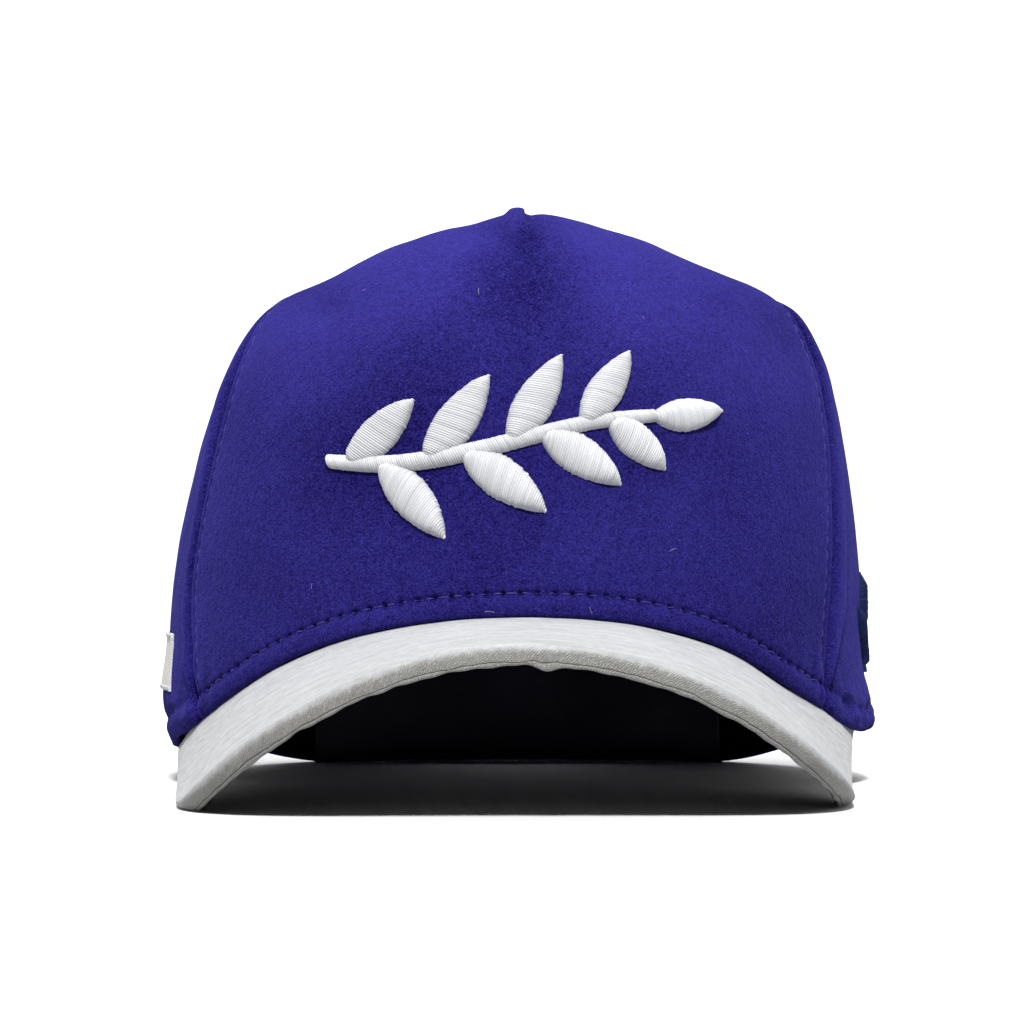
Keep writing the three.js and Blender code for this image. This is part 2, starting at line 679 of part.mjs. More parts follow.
function addPiece(name, geometry, finish, place = [0, 0, 0]) {
  const mesh = new THREE.Mesh(geometry, new THREE.MeshStandardMaterial(finish));
  mesh.name = name;
  mesh.position.set(...place);
  cap.add(mesh);
}

const mirror = (seam) => (rise) => -seam(rise);
const centreBack = () => 180;
const beyondBack = () => -180;

addPiece("front_panel", crownPanel(mirror(frontSeamLeft), frontSeamRight, 26, 17), suede);
addPiece("side_panel_right", crownPanel(frontSeamRight, rearSeam, 10, 15), suede);
addPiece("side_panel_left", crownPanel(mirror(rearSeam), mirror(frontSeamLeft), 10, 15), suede);
addPiece("back_panel_right", backPanel(rearSeam, centreBack), suede);
addPiece("back_panel_left", backPanel(beyondBack, mirror(rearSeam)), suede);

const top = crownFace(0, 1);
addPiece("top_button", coveredButton(), suede, [top.x, top.y, top.z + BUTTON_LIFT]);

addPiece("peak_top_cover", peakLayer(0, PEAK_COVER, 0, 1.2), paleFelt);
addPiece("peak_under_cover", peakLayer(PEAK_COVER + 1.5 * CLEARANCE, PEAK_THICKNESS, 0.8, 0.2), paleFelt);

addPiece("sweatband", sweatband(), bandCloth);
addPiece("closing_strap", closingStrap(), strapPlastic);
addPiece("front_sprig", frontSprig(), whiteThread);
addPiece("side_emblem_right", sideEmblem(), navyThread);
addPiece("side_patch_left", sidePatch(), whiteThread);

for (const piece of cap.children) piece.position.y += FRAME_SHIFT_Y;

export default cap;
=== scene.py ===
import logging
import math
from dataclasses import dataclass, field
from enum import Enum
from typing import Callable, Sequence

import bpy
import numpy as np
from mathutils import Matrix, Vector


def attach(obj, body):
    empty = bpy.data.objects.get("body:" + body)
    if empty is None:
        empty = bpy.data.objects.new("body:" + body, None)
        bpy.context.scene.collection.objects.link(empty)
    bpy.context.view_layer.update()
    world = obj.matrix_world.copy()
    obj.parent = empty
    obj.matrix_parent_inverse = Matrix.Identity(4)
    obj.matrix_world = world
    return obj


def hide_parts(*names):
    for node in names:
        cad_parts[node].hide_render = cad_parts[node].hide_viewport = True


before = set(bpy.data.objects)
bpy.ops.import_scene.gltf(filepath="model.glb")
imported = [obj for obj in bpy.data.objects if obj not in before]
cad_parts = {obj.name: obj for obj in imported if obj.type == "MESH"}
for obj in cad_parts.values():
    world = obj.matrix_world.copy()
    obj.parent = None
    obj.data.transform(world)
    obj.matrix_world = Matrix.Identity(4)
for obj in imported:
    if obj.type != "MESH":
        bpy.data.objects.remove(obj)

"""Dresses a five-panel cap with a curved peak: suede crown, pale brushed peak and satin-stitched trim."""

LOG = logging.getLogger("cap")
BODY = "root"
MM = 0.001
DEG = math.pi / 180.0
FULL_TURN = 2.0 * math.pi
SHIFT_Y = 35.0
FLOOR_LIFT = 0.02
TINY = 1e-12
UP = np.array([0.0, 0.0, 1.0])

# A length from SHARE up stands for a share of the whole way: SHARE is its start and SHARE + 1 its end.
SHARE = 1000.0


# Curves and numbers


class NaturalCurve:
    """A natural cubic spline through a table of values."""

    def __init__(self, at: Sequence[float], values: Sequence[float]) -> None:
        """Solves the bends of the curve.

        Args:
            at: where the values stand, rising.
            values: the values there.
        """
        self.at = np.asarray(at, float)
        self.values = np.asarray(values, float)
        count = len(self.at)
        matrix = np.zeros((count, count))
        right = np.zeros(count)
        matrix[0, 0] = matrix[-1, -1] = 1.0
        for i in range(1, count - 1):
            before = self.at[i] - self.at[i - 1]
            after = self.at[i + 1] - self.at[i]
            matrix[i, i - 1 : i + 2] = before, 2.0 * (before + after), after
            right[i] = 6.0 * (
                (self.values[i + 1] - self.values[i]) / after - (self.values[i] - self.values[i - 1]) / before
            )
        self.bends = np.linalg.solve(matrix, right)

    def __call__(self, where: np.ndarray | float) -> np.ndarray:
        """Returns the curve's value, carried on past its ends."""
        where = np.asarray(where, float)
        i = np.clip(np.searchsorted(self.at, where) - 1, 0, len(self.at) - 2)
        step = self.at[i + 1] - self.at[i]
        right = (where - self.at[i]) / step
        left = 1.0 - right
        bend = (left**3 - left) * self.bends[i] + (right**3 - right) * self.bends[i + 1]
        return left * self.values[i] + right * self.values[i + 1] + bend * step * step / 6.0


def bell(value: np.ndarray | float, centre: float, reach: float) -> np.ndarray:
    """Returns a bell curve that is 1 at its centre."""
    return np.exp(-(((np.asarray(value, float) - centre) / reach) ** 2))


def smooth_step(value: np.ndarray | float, low: float, high: float) -> np.ndarray:
    """Returns 0 below low, 1 above high and a soft rise between them."""
    share = np.clip((np.asarray(value, float) - low) / (high - low), 0.0, 1.0)
    return share * share * (3.0 - 2.0 * share)


def ripples(points: np.ndarray, wavelength: float, seed: int, waves: int = 14) -> np.ndarray:
    """Adds up seeded plane waves into a soft, uneven swell.

    Args:
        points: places in millimetres, any shape ending in 1 to 3 coordinates.
        wavelength: the mean length of the waves in millimetres.
        seed: picks the waves.
        waves: how many are added.

    Returns:
        A value for each point, mostly between -1 and 1.
    """
    draw = np.random.default_rng(seed)
    size = points.shape[-1]
    total = np.zeros(points.shape[:-1])
    for _ in range(waves):
        way = draw.normal(size=size)
        way /= np.linalg.norm(way)
        length = wavelength * draw.uniform(0.7, 1.5)
        total += np.sin(points @ (way * (FULL_TURN / length)) + draw.uniform(0, FULL_TURN))
    return total / math.sqrt(waves) * 0.9


def look_up(table: np.ndarray, row: np.ndarray, column: np.ndarray) -> np.ndarray:
    """Reads a table between its cells.

    Args:
        table: values or points by row and column.
        row: row places, in cells.
        column: column places, in cells.

    Returns:
        The values or points there.
    """
    short = 1.0001
    row = np.clip(row, 0, table.shape[0] - short)
    column = np.clip(column, 0, table.shape[1] - short)
    r, c = row.astype(int), column.astype(int)
    down, over = row - r, column - c
    if table.ndim > 2:
        down, over = down[..., None], over[..., None]
    low = table[r, c] * (1 - over) + table[r, c + 1] * over
    high = table[r + 1, c] * (1 - over) + table[r + 1, c + 1] * over
    return low * (1 - down) + high * down


def both_sides(left: np.ndarray, right: np.ndarray) -> np.ndarray:
    """Joins two tables that start in the middle into one from the far left to the far right."""
    return np.concatenate([left[:0:-1], right])


def unit(vectors: np.ndarray) -> np.ndarray:
    """Returns vectors brought to length 1."""
    return vectors / (np.linalg.norm(vectors, axis=-1, keepdims=True) + TINY)


def level_unit(vectors: np.ndarray) -> np.ndarray:
    """Returns vectors made level and brought to length 1."""
    return unit(vectors * (1.0 - UP))


def surface_normals(
    surface: Callable[[np.ndarray, np.ndarray], np.ndarray], first: np.ndarray, second: np.ndarray
) -> np.ndarray:
    """Returns a surface's normals.

    Args:
        surface: gives points by two numbers.
        first: the first number at each place.
        second: the second number at each place.

    Returns:
        Unit vectors on the side from which the second number rises to the left of the first.
    """
    step = 0.002
    by_first = surface(first + step, second) - surface(first - step, second)
    by_second = surface(first, second + step) - surface(first, second - step)
    return unit(np.cross(by_first, by_second))


def cells_at(lengths: np.ndarray, length: float) -> np.ndarray:
    """Returns the place, in cells, at which each row of rising lengths reaches a length."""
    cells = np.arange(lengths.shape[1])
    return np.array([np.interp(length, row, cells) for row in lengths])


def run_length(grid: np.ndarray, axis: int) -> np.ndarray:
    """Returns the length walked over a grid of points along one of its axes."""
    steps = np.linalg.norm(np.diff(grid, axis=axis), axis=-1)
    total = np.cumsum(steps, axis=axis)
    shape = list(total.shape)
    shape[axis] = 1
    return np.concatenate([np.zeros(shape), total], axis=axis)


# Meshes


@dataclass
class ClothMesh:
    """Points, faces and per-point values of a mesh that is being put together, in millimetres."""

    points: list[np.ndarray] = field(default_factory=list)
    faces: list[np.ndarray] = field(default_factory=list)
    values: dict[str, list[np.ndarray]] = field(default_factory=dict)
    count: int = 0

    def add_grid(self, grid: np.ndarray, closed: bool = False, **values: np.ndarray | float) -> "ClothMesh":
        """Adds a grid of points as quads.

        Args:
            grid: rows by columns by 3.
            closed: joins the last column to the first.
            values: per-point numbers by attribute name.

        Returns:
            The same mesh.
        """
        rows, columns = grid.shape[:2]
        r, c = np.meshgrid(np.arange(rows - 1), np.arange(columns if closed else columns - 1), indexing="ij")
        here, above = r * columns, (r + 1) * columns
        after = (c + 1) % columns
        quads = np.stack([here + c, here + after, above + after, above + c], -1).reshape(-1, 4)
        self.points.append(grid.reshape(-1, 3))
        self.faces.append(quads + self.count)
        for name, value in values.items():
            self.values.setdefault(name, []).append(np.broadcast_to(value, grid.shape[:2]).reshape(-1))
        self.count += rows * columns
        return self

    def to_object(self, name: str) -> bpy.types.Object:
        """Makes the Blender object.

        Args:
            name: the piece's name.

        Returns:
            The new object, linked to the scene.
        """
        points = np.concatenate(self.points) + np.array([0.0, SHIFT_Y, 0.0])
        faces = np.concatenate(self.faces)
        mesh = bpy.data.meshes.new(name)
        mesh.vertices.add(len(points))
        mesh.vertices.foreach_set("co", (points * MM).astype(np.float32).ravel())
        mesh.loops.add(faces.size)
        mesh.loops.foreach_set("vertex_index", faces.astype(np.int32).ravel())
        mesh.polygons.add(len(faces))
        mesh.polygons.foreach_set("loop_start", np.arange(0, faces.size, 4, dtype=np.int32))
        mesh.polygons.foreach_set("use_smooth", np.full(len(faces), True))
        for attribute, parts in self.values.items():
            layer = mesh.attributes.new(attribute, "FLOAT", "POINT")
            layer.data.foreach_set("value", np.concatenate(parts).astype(np.float32))
        mesh.update(calc_edges=True)
        mesh.validate()
        return put_in_scene(bpy.data.objects.new(name, mesh))


def put_in_scene(thing: bpy.types.Object) -> bpy.types.Object:
    """Links an object to the scene and returns it."""
    bpy.context.scene.collection.objects.link(thing)
    return thing


def tube(path: np.ndarray, radius: np.ndarray, sides: int = 6) -> np.ndarray:
    """Returns a grid of rings along a path.

    Args:
        path: points along the middle, in millimetres.
        radius: the radius at each point.
        sides: points in a ring.

    Returns:
        Rings by sides by 3.
    """
    way = unit(np.gradient(path, axis=0))
    helper = np.where(np.abs(way[:, 2:3]) > 0.9, np.array([[1.0, 0, 0]]), UP[None])
    side = unit(np.cross(way, helper))
    over = np.cross(side, way)
    angle = (np.arange(sides) * (FULL_TURN / sides))[None, :, None]
    ring = np.cos(angle) * side[:, None] + np.sin(angle) * over[:, None]
    return path[:, None] + ring * radius[:, None, None]


# The crown's form


@dataclass(frozen=True)
class CrownLevel:
    """One level section of the crown's outer face, in millimetres, on its right side."""

    lean: float
    crest: float
    front: tuple[float, float]
    corner: tuple[float, float, float]
    side: tuple[float, float, float]
    rear: tuple[float, float, float]
    back: tuple[float, float]


CROWN_LEVELS = (
    CrownLevel(0.5, 0.0, (-100.6, 0), (61, -70, 0), (84.9, 2, 0), (62, 71, 0), (98, 0)),
    CrownLevel(-0.4, 0.0, (-99.4, 28), (61.4, -69.6, 28), (86, 1, 28), (62.4, 71.4, 28), (98.8, 28)),
    CrownLevel(0.2, 0.0, (-96.6, 55), (60.6, -67.8, 55), (85, -1, 54), (61, 69, 54), (96.4, 54)),
    CrownLevel(1.4, 0.0, (-91, 82), (58.3, -63.6, 80.9), (80.5, -4, 79.2), (56.6, 62, 78), (88, 78)),
    CrownLevel(2.4, 0.0, (-83, 106), (55.5, -57.2, 103.4), (74.9, -8, 97.3), (49.6, 51, 97), (74, 96.5)),
    CrownLevel(3.7, 0.6, (-71.5, 123.8), (50.7, -48.5, 119.5), (64.4, -11, 113.9), (40.6, 37.5, 111), (55.5, 110.5)),
    CrownLevel(2.0, 2.7, (-53.5, 135), (40.4, -36.5, 127.3), (45.6, -10, 121.4), (28.6, 22.5, 121.5), (34, 121.5)),
    CrownLevel(2.2, 1.1, (-28, 135.8), (21.3, -20.5, 133.5), (24.7, -6, 129.1), (15, 10, 128.8), (15, 129)),
    CrownLevel(1.2, 0.0, (-3, 133), (0, -3, 133), (0, -3, 133), (0, -3, 133), (-3, 133)),
)


@dataclass(frozen=True)
class Flare:
    """A swelling of the crown over one end of the peak."""

    side: float
    swell: float
    height: float
    reach: float


@dataclass
class CrownShape:
    """The crown's outer face by turn from the front, in radians, and level or rise, from 0 to 1."""

    panel_thickness: float = 2.2
    button_hole: float = 0.965
    crest_reach: float = 13.2
    flare_angle: float = 84.0
    flare_angle_reach: float = 20.0
    flares: tuple[Flare, ...] = (Flare(-1.0, 2.2, 20.0, 10.0), Flare(1.0, 3.3, 14.0, 12.0))
    dart_height: float = 1.5
    dart_half_angle: float = 9.0
    dart_drop_angle: float = 1.6
    dart_levels: tuple[float, float] = (0.66, 0.72)
    level_bounds: tuple[float, float] = (-0.05, 0.72)
    halvings: int = 22

    def __post_init__(self) -> None:
        """Builds the curves through the tables."""
        level = np.linspace(0.0, 1.0, len(CROWN_LEVELS))
        columns = {name: [getattr(row, name) for row in CROWN_LEVELS] for name in ("lean", "crest")}
        for station, axes in (("front", "yz"), ("corner", "xyz"), ("side", "xyz"), ("rear", "xyz"), ("back", "yz")):
            for i, axis in enumerate(axes):
                columns[f"{station}_{axis}"] = [getattr(row, station)[i] for row in CROWN_LEVELS]
        self.curves = {name: NaturalCurve(level, values) for name, values in columns.items()}
        angle = np.array([0, 18, 36, 48, 60, 72, 78, 84, 92, 105, 126, 142, 160, 180], float)
        left = np.array([43.1, 40.7, 33.6, 26.2, 18.9, 13.6, 11.9, 9.6, 7.3, 6.8, 3.9, 0, 0, 0])
        right = np.array([43.1, 41.4, 34.2, 26.2, 20.0, 14.6, 13.6, 13.6, 14.4, 11.6, 4.4, 0, 0, 0])
        self.rim = NaturalCurve(both_sides(-angle, angle), both_sides(left, right))
        self.rim_turns = np.linspace(-182.0, 182.0, 729) * DEG
        self.rim_levels = self.level_at(self.rim_turns, self.rim_height(self.rim_turns))
        angle = np.abs(self.rim_turns) / DEG
        drop = 0.35 * smooth_step(-angle, -95.0, -75.0) + bell(angle, 66.0, 14.0)
        cloth = np.maximum(FLOOR_LIFT, self.rim_height(self.rim_turns) - drop)
        self.cloth_levels = self.level_at(self.rim_turns, cloth)

    def dart(self, angle: np.ndarray, level: np.ndarray) -> np.ndarray:
        """Returns how far the dart lifts the top: a lip on its left that drops off to its right.

        Args:
            angle: degrees from the front.
            level: levels from the table to the button.

        Returns:
            Millimetres up.
        """
        low, high = self.dart_levels
        fade = np.clip((level - low) / (high - low), 0.0, 1.0)
        decay = np.exp(-np.abs(angle) / self.dart_half_angle)
        drop = np.clip(angle / self.dart_drop_angle, 0.0, 1.0)
        lip = np.where(angle <= 0, decay, 1.0 - drop)
        other = np.where(angle <= 0, 0.0, drop * decay)
        return fade * self.dart_height * 0.5 * (lip - other)

    def face(self, turn: np.ndarray, level: np.ndarray) -> np.ndarray:
        """Returns points of the outer face.

        Args:
            turn: radians from the front, positive to the right.
            level: 0 at the table to 1 at the button.

        Returns:
            Points in millimetres.
        """
        turn, level = np.broadcast_arrays(np.asarray(turn, float), np.asarray(level, float))
        at = {name: curve(level) for name, curve in self.curves.items()}
        waves = [np.cos(k * turn) for k in range(5)]

        def even(axis: str) -> np.ndarray:
            """Returns the coordinates on an axis along which both sides are the same."""
            stations = ("front", "corner", "side", "rear", "back")
            front, corner, side, rear, back = (at[f"{station}_{axis}"] for station in stations)
            odd_sum = (front - back) / 2
            odd_difference = (corner - rear) / math.sqrt(2)
            ends = (front + back) / 2
            even_sum = (ends + side) / 2
            even_difference = (corner + rear) / 2
            return (
                (even_sum + even_difference) / 2
                + (odd_sum + odd_difference) / 2 * waves[1]
                + (ends - side) / 2 * waves[2]
                + (odd_sum - odd_difference) / 2 * waves[3]
                + (even_sum - even_difference) / 2 * waves[4]
            )

        diagonal = (at["corner_x"] + at["rear_x"]) / math.sqrt(2)
        x = (
            (diagonal + at["side_x"]) / 2 * np.sin(turn)
            + (at["corner_x"] - at["rear_x"]) / 2 * np.sin(2 * turn)
            + (diagonal - at["side_x"]) / 2 * np.sin(3 * turn)
            + at["lean"]
        )
        y = even("y")
        angle = turn / DEG
        z = even("z") + at["crest"] * bell(angle, 0.0, self.crest_reach) + self.dart(angle, level)
        for flare in self.flares:
            near = bell(angle, flare.side * self.flare_angle, self.flare_angle_reach)
            x = x + flare.side * flare.swell * near * bell(z, flare.height, flare.reach)
        return np.stack([x, y, z], -1)

    def level_at(self, turn: np.ndarray, height: np.ndarray) -> np.ndarray:
        """Returns the level at which the face has a height, by halving."""
        turn, height = np.broadcast_arrays(np.asarray(turn, float), np.asarray(height, float))
        low, high = (np.full(turn.shape, bound) for bound in self.level_bounds)
        for _ in range(self.halvings):
            middle = (low + high) / 2
            under = self.face(turn, middle)[..., 2] < height
            low = np.where(under, middle, low)
            high = np.where(under, high, middle)
        return (low + high) / 2

    def rim_height(self, turn: np.ndarray) -> np.ndarray:
        """Returns the height of the crown's lower edge."""
        angle = np.asarray(turn, float) / DEG
        angle = np.where(angle > 180.0, angle - 360.0, angle)
        return np.maximum(0.0, self.rim(angle))

    def crown(self, turn: np.ndarray, rise: np.ndarray) -> np.ndarray:
        """Returns points of the outer face, with rise from 0 at the rim to 1 at the button."""
        turn = np.asarray(turn, float)
        wrapped = np.where(turn > self.rim_turns[-1], turn - FULL_TURN, turn)
        low = np.interp(wrapped, self.rim_turns, self.cloth_levels)
        return self.face(turn, low + (1.0 - low) * rise)

    def normal(self, turn: np.ndarray, level: np.ndarray) -> np.ndarray:
        """Returns the outward normals of the face."""
        return surface_normals(self.face, turn, level)

    def place(self, start: float, across: np.ndarray, height: np.ndarray, lift: np.ndarray) -> np.ndarray:
        """Returns points beside a start angle.

        Args:
            start: the start angle in radians.
            across: millimetres along the face from there.
            height: heights of the points before they are lifted.
            lift: millimetres off the face.

        Returns:
            Points in millimetres.
        """
        across, height, lift = np.broadcast_arrays(across, height, lift)
        level = self.level_at(np.full(height.shape, start), height)
        step = 0.01
        pace = np.linalg.norm(self.face(start + step, level) - self.face(start - step, level), axis=-1) / (2 * step)
        turn = start + across / pace
        own = self.level_at(turn, height)
        return self.face(turn, own) + self.normal(turn, own) * lift[..., None]


# Finishes


class Nodes:
    """A short way to place and join shader nodes."""

    def __init__(self, tree: bpy.types.NodeTree) -> None:
        """Keeps the tree that the nodes go into."""
        self.tree = tree

    def feed(self, value: object, socket: bpy.types.NodeSocket) -> None:
        """Sets an input to a number or a colour, or joins an output to it.

        Args:
            value: the number, the colour or the output.
            socket: the input.
        """
        if isinstance(value, (int, float)):
            socket.default_value = value
        elif isinstance(value, tuple):
            socket.default_value = (*value, 1.0)
        else:
            self.tree.links.new(value, socket)

    def add(self, kind: str, feeds: dict[str | int, object] | None = None, **options: object) -> bpy.types.Node:
        """Adds a node.

        Args:
            kind: the node's type.
            feeds: numbers, colours or outputs by the name or number of the input.
            options: the node's options by name.

        Returns:
            The node.
        """
        node = self.tree.nodes.new(kind)
        for name, value in options.items():
            setattr(node, name, value)
        for name, value in (feeds or {}).items():
            self.feed(value, node.inputs[name])
        return node

    def math(self, operation: str, *values: object) -> bpy.types.NodeSocket:
        """Adds a math node on outputs or numbers and returns its output."""
        return self.add("ShaderNodeMath", dict(enumerate(values)), operation=operation).outputs[0]

    def weigh(self, first: object, first_weight: float, second: object, second_weight: float) -> bpy.types.NodeSocket:
        """Returns the weighted sum of two values."""
        parts = [self.math("MULTIPLY", *part) for part in ((first, first_weight), (second, second_weight))]
        return self.math("ADD", *parts)

    def noise(self, vector: object, scale: object, detail: float, roughness: float = 0.5) -> bpy.types.NodeSocket:
        """Adds a noise texture and returns its value."""
        feeds = {"Vector": vector, "Scale": scale, "Detail": detail, "Roughness": roughness}
        return self.add("ShaderNodeTexNoise", feeds).outputs["Fac"]

    def mix(self, factor: object, first: object, second: object) -> bpy.types.NodeSocket:
        """Adds a colour mix on outputs or colours and returns its result."""
        return self.add("ShaderNodeMix", {0: factor, 6: first, 7: second}, data_type="RGBA").outputs[2]

    def ramp(self, value: bpy.types.NodeSocket, low: float, high: float) -> bpy.types.NodeSocket:
        """Adds a map range that stretches low to high over 0 to 1."""
        return self.add("ShaderNodeMapRange", {"Value": value, "From Min": low, "From Max": high}).outputs["Result"]

    def attribute(self, name: str) -> bpy.types.NodeSocket:
        """Returns the value of a per-point attribute."""
        return self.add("ShaderNodeAttribute", attribute_name=name).outputs["Fac"]

    def for_camera(self) -> bpy.types.NodeSocket:
        """Returns 1 where the camera looks and 0 for bounced light."""
        return self.add("ShaderNodeLightPath").outputs["Is Camera Ray"]


class SharedEffect(Enum):
    """The node groups that several finishes use."""

    NAP = "brushed_nap"
    WEAVE = "twill_weave"
    FLECK = "fibre_fleck"


@dataclass
class Group:
    """A node group that is being built: its nodes, what comes in and where its results go."""

    effect: SharedEffect
    inputs: dict[str, float]
    outputs: Sequence[str]

    def __post_init__(self) -> None:
        """Starts the group with a vector input, its number inputs and its number outputs."""
        tree = bpy.data.node_groups.new(self.effect.value, "ShaderNodeTree")
        tree.interface.new_socket("Vector", in_out="INPUT", socket_type="NodeSocketVector")
        for name, value in self.inputs.items():
            socket = tree.interface.new_socket(name, in_out="INPUT", socket_type="NodeSocketFloat")
            socket.default_value = value
        for name in self.outputs:
            tree.interface.new_socket(name, in_out="OUTPUT", socket_type="NodeSocketFloat")
        self.nodes = Nodes(tree)
        self.given = self.nodes.add("NodeGroupInput").outputs
        self.results = self.nodes.add("NodeGroupOutput").inputs

    def give(self, **results: bpy.types.NodeSocket) -> None:
        """Sends results to the group's outputs by name."""
        for name, value in results.items():
            self.nodes.feed(value, self.results[name])


def nap_group() -> None:
    """Builds the brushed nap: wide cloudy strokes, small tufts and a fine height."""
    scales = {"Cloud Scale": 55.0, "Tuft Scale": 650.0, "Fibre Scale": 2300.0}
    group = Group(SharedEffect.NAP, scales, ("Cloud", "Tuft", "Fibre", "Height"))
    nodes, given = group.nodes, group.given
    cloud = nodes.noise(given["Vector"], given["Cloud Scale"], 3.0, 0.55)
    tuft = nodes.noise(given["Vector"], given["Tuft Scale"], 3.0, 0.6)
    fibre = nodes.noise(given["Vector"], given["Fibre Scale"], 2.0, 0.6)
    group.give(
        Cloud=nodes.ramp(cloud, 0.25, 0.75),
        Tuft=nodes.ramp(tuft, 0.3, 0.7),
        Fibre=nodes.ramp(fibre, 0.38, 0.64),
        Height=nodes.weigh(tuft, 0.55, fibre, 0.45),
    )


def weave_group() -> None:
    """Builds a twill: slanted ribs crossed by fine threads, by lengths in millimetres along and across."""
    group = Group(SharedEffect.WEAVE, {"Rib Pitch": 0.8, "Thread Pitch": 0.45, "Slant": 1.0}, ("Rib", "Height"))
    nodes, given = group.nodes, group.given

    def wave(place: bpy.types.NodeSocket, pitch: str) -> bpy.types.NodeSocket:
        """Returns a sine wave over a length."""
        return nodes.math("SINE", nodes.math("DIVIDE", nodes.math("MULTIPLY", place, FULL_TURN), given[pitch]))

    split = nodes.add("ShaderNodeSeparateXYZ", {0: given["Vector"]})
    wobble = nodes.noise(given["Vector"], 1.1, 3.0)
    shifted = nodes.math("ADD", split.outputs["X"], nodes.math("MULTIPLY", wobble, 1.6))
    slant = nodes.math("MULTIPLY", split.outputs["Y"], given["Slant"])
    rib = nodes.math("MULTIPLY_ADD", wave(nodes.math("ADD", shifted, slant), "Rib Pitch"), 0.5, 0.5)
    thread = wave(nodes.math("SUBTRACT", shifted, slant), "Thread Pitch")
    grain = nodes.noise(given["Vector"], 2.6, 3.0)
    height = nodes.math("ADD", nodes.weigh(rib, 0.6, thread, 0.14), nodes.math("MULTIPLY", grain, 0.55))
    group.give(Height=height, Rib=rib)


def fleck_group() -> None:
    """Builds scattered pale flecks of lint."""
    group = Group(SharedEffect.FLECK, {"Scale": 300.0, "Amount": 0.03}, ("Fleck",))
    nodes, given = group.nodes, group.given
    cells = nodes.add("ShaderNodeTexVoronoi", {"Vector": given["Vector"], "Scale": given["Scale"]})
    split = nodes.add("ShaderNodeSeparateColor", {0: cells.outputs["Color"]})
    few = nodes.math("LESS_THAN", split.outputs[0], given["Amount"])
    near = nodes.math("LESS_THAN", cells.outputs["Distance"], 0.24)
    group.give(Fleck=nodes.math("MULTIPLY", few, near))


def new_material(name: str, roughness: float, specular: float) -> tuple[bpy.types.Material, Nodes, bpy.types.Node]:
    """Starts a material.

    Args:
        name: its name.
        roughness: its roughness.
        specular: its specular level.

    Returns:
        The material, its node helper and its Principled shader.
    """
    material = bpy.data.materials.new(name)
    material.use_nodes = True
    shader = next(node for node in material.node_tree.nodes if node.type == "BSDF_PRINCIPLED")
    shader.inputs["Roughness"].default_value = roughness
    shader.inputs["Specular IOR Level"].default_value = specular
    return material, Nodes(material.node_tree), shader


@dataclass(frozen=True)
class Finish:
    """What every finish has: a name and plain surface values."""

    name: str
    roughness: float = 0.9
    specular: float = 0.3
    sheen: float = 0.0
    sheen_roughness: float = 0.5
    sheen_tint: tuple[float, float, float] = (1.0, 1.0, 1.0)
    bump_depth: float = 0.0003

    def build(self) -> bpy.types.Material:
        """Makes the material."""
        material, nodes, shader = new_material(self.name, self.roughness, self.specular)
        shader.inputs["Sheen Weight"].default_value = self.sheen
        shader.inputs["Sheen Roughness"].default_value = self.sheen_roughness
        shader.inputs["Sheen Tint"].default_value = (*self.sheen_tint, 1.0)
        self.dress(nodes, shader)
        return material

    def dress(self, nodes: Nodes, shader: bpy.types.Node) -> None:
        """Gives the shader its colour and its relief.

        Args:
            nodes: the material's node helper.
            shader: the Principled shader.
        """
        raise NotImplementedError

    def effect(
        self, nodes: Nodes, effect: SharedEffect, vector: bpy.types.NodeSocket, **values: float
    ) -> bpy.types.bpy_prop_collection:
        """Places a shared group with its own values.

        Args:
            nodes: the material's node helper.
            effect: which group.
            vector: the coordinates it works on.
            values: numbers by input name, with _ for a space.

        Returns:
            The group's outputs.
        """
        feeds = {name.replace("_", " "): value for name, value in values.items()}
        tree = bpy.data.node_groups[effect.value]
        return nodes.add("ShaderNodeGroup", {"Vector": vector, **feeds}, node_tree=tree).outputs

    def paint(
        self, nodes: Nodes, shader: bpy.types.Node, colour: bpy.types.NodeSocket, height: bpy.types.NodeSocket
    ) -> None:
        """Joins a colour and a bump to the shader.

        Args:
            nodes: the material's node helper.
            shader: the Principled shader.
            colour: the base colour.
            height: the bump's height, from 0 to 1.
        """
        nodes.feed(colour, shader.inputs["Base Color"])
        bump = nodes.add("ShaderNodeBump", {"Distance": self.bump_depth, "Strength": 1.0, "Height": height})
        nodes.feed(bump.outputs["Normal"], shader.inputs["Normal"])

    def place_by_object(self, nodes: Nodes) -> bpy.types.NodeSocket:
        """Returns the object's own coordinates, in metres."""
        return nodes.add("ShaderNodeTexCoord").outputs["Object"]

    def place_by_cloth(self, nodes: Nodes) -> bpy.types.NodeSocket:
        """Returns the lengths along and across the cloth, in millimetres."""
        lengths = {"X": nodes.attribute("cloth_along"), "Y": nodes.attribute("cloth_across")}
        return nodes.add("ShaderNodeCombineXYZ", lengths).outputs[0]


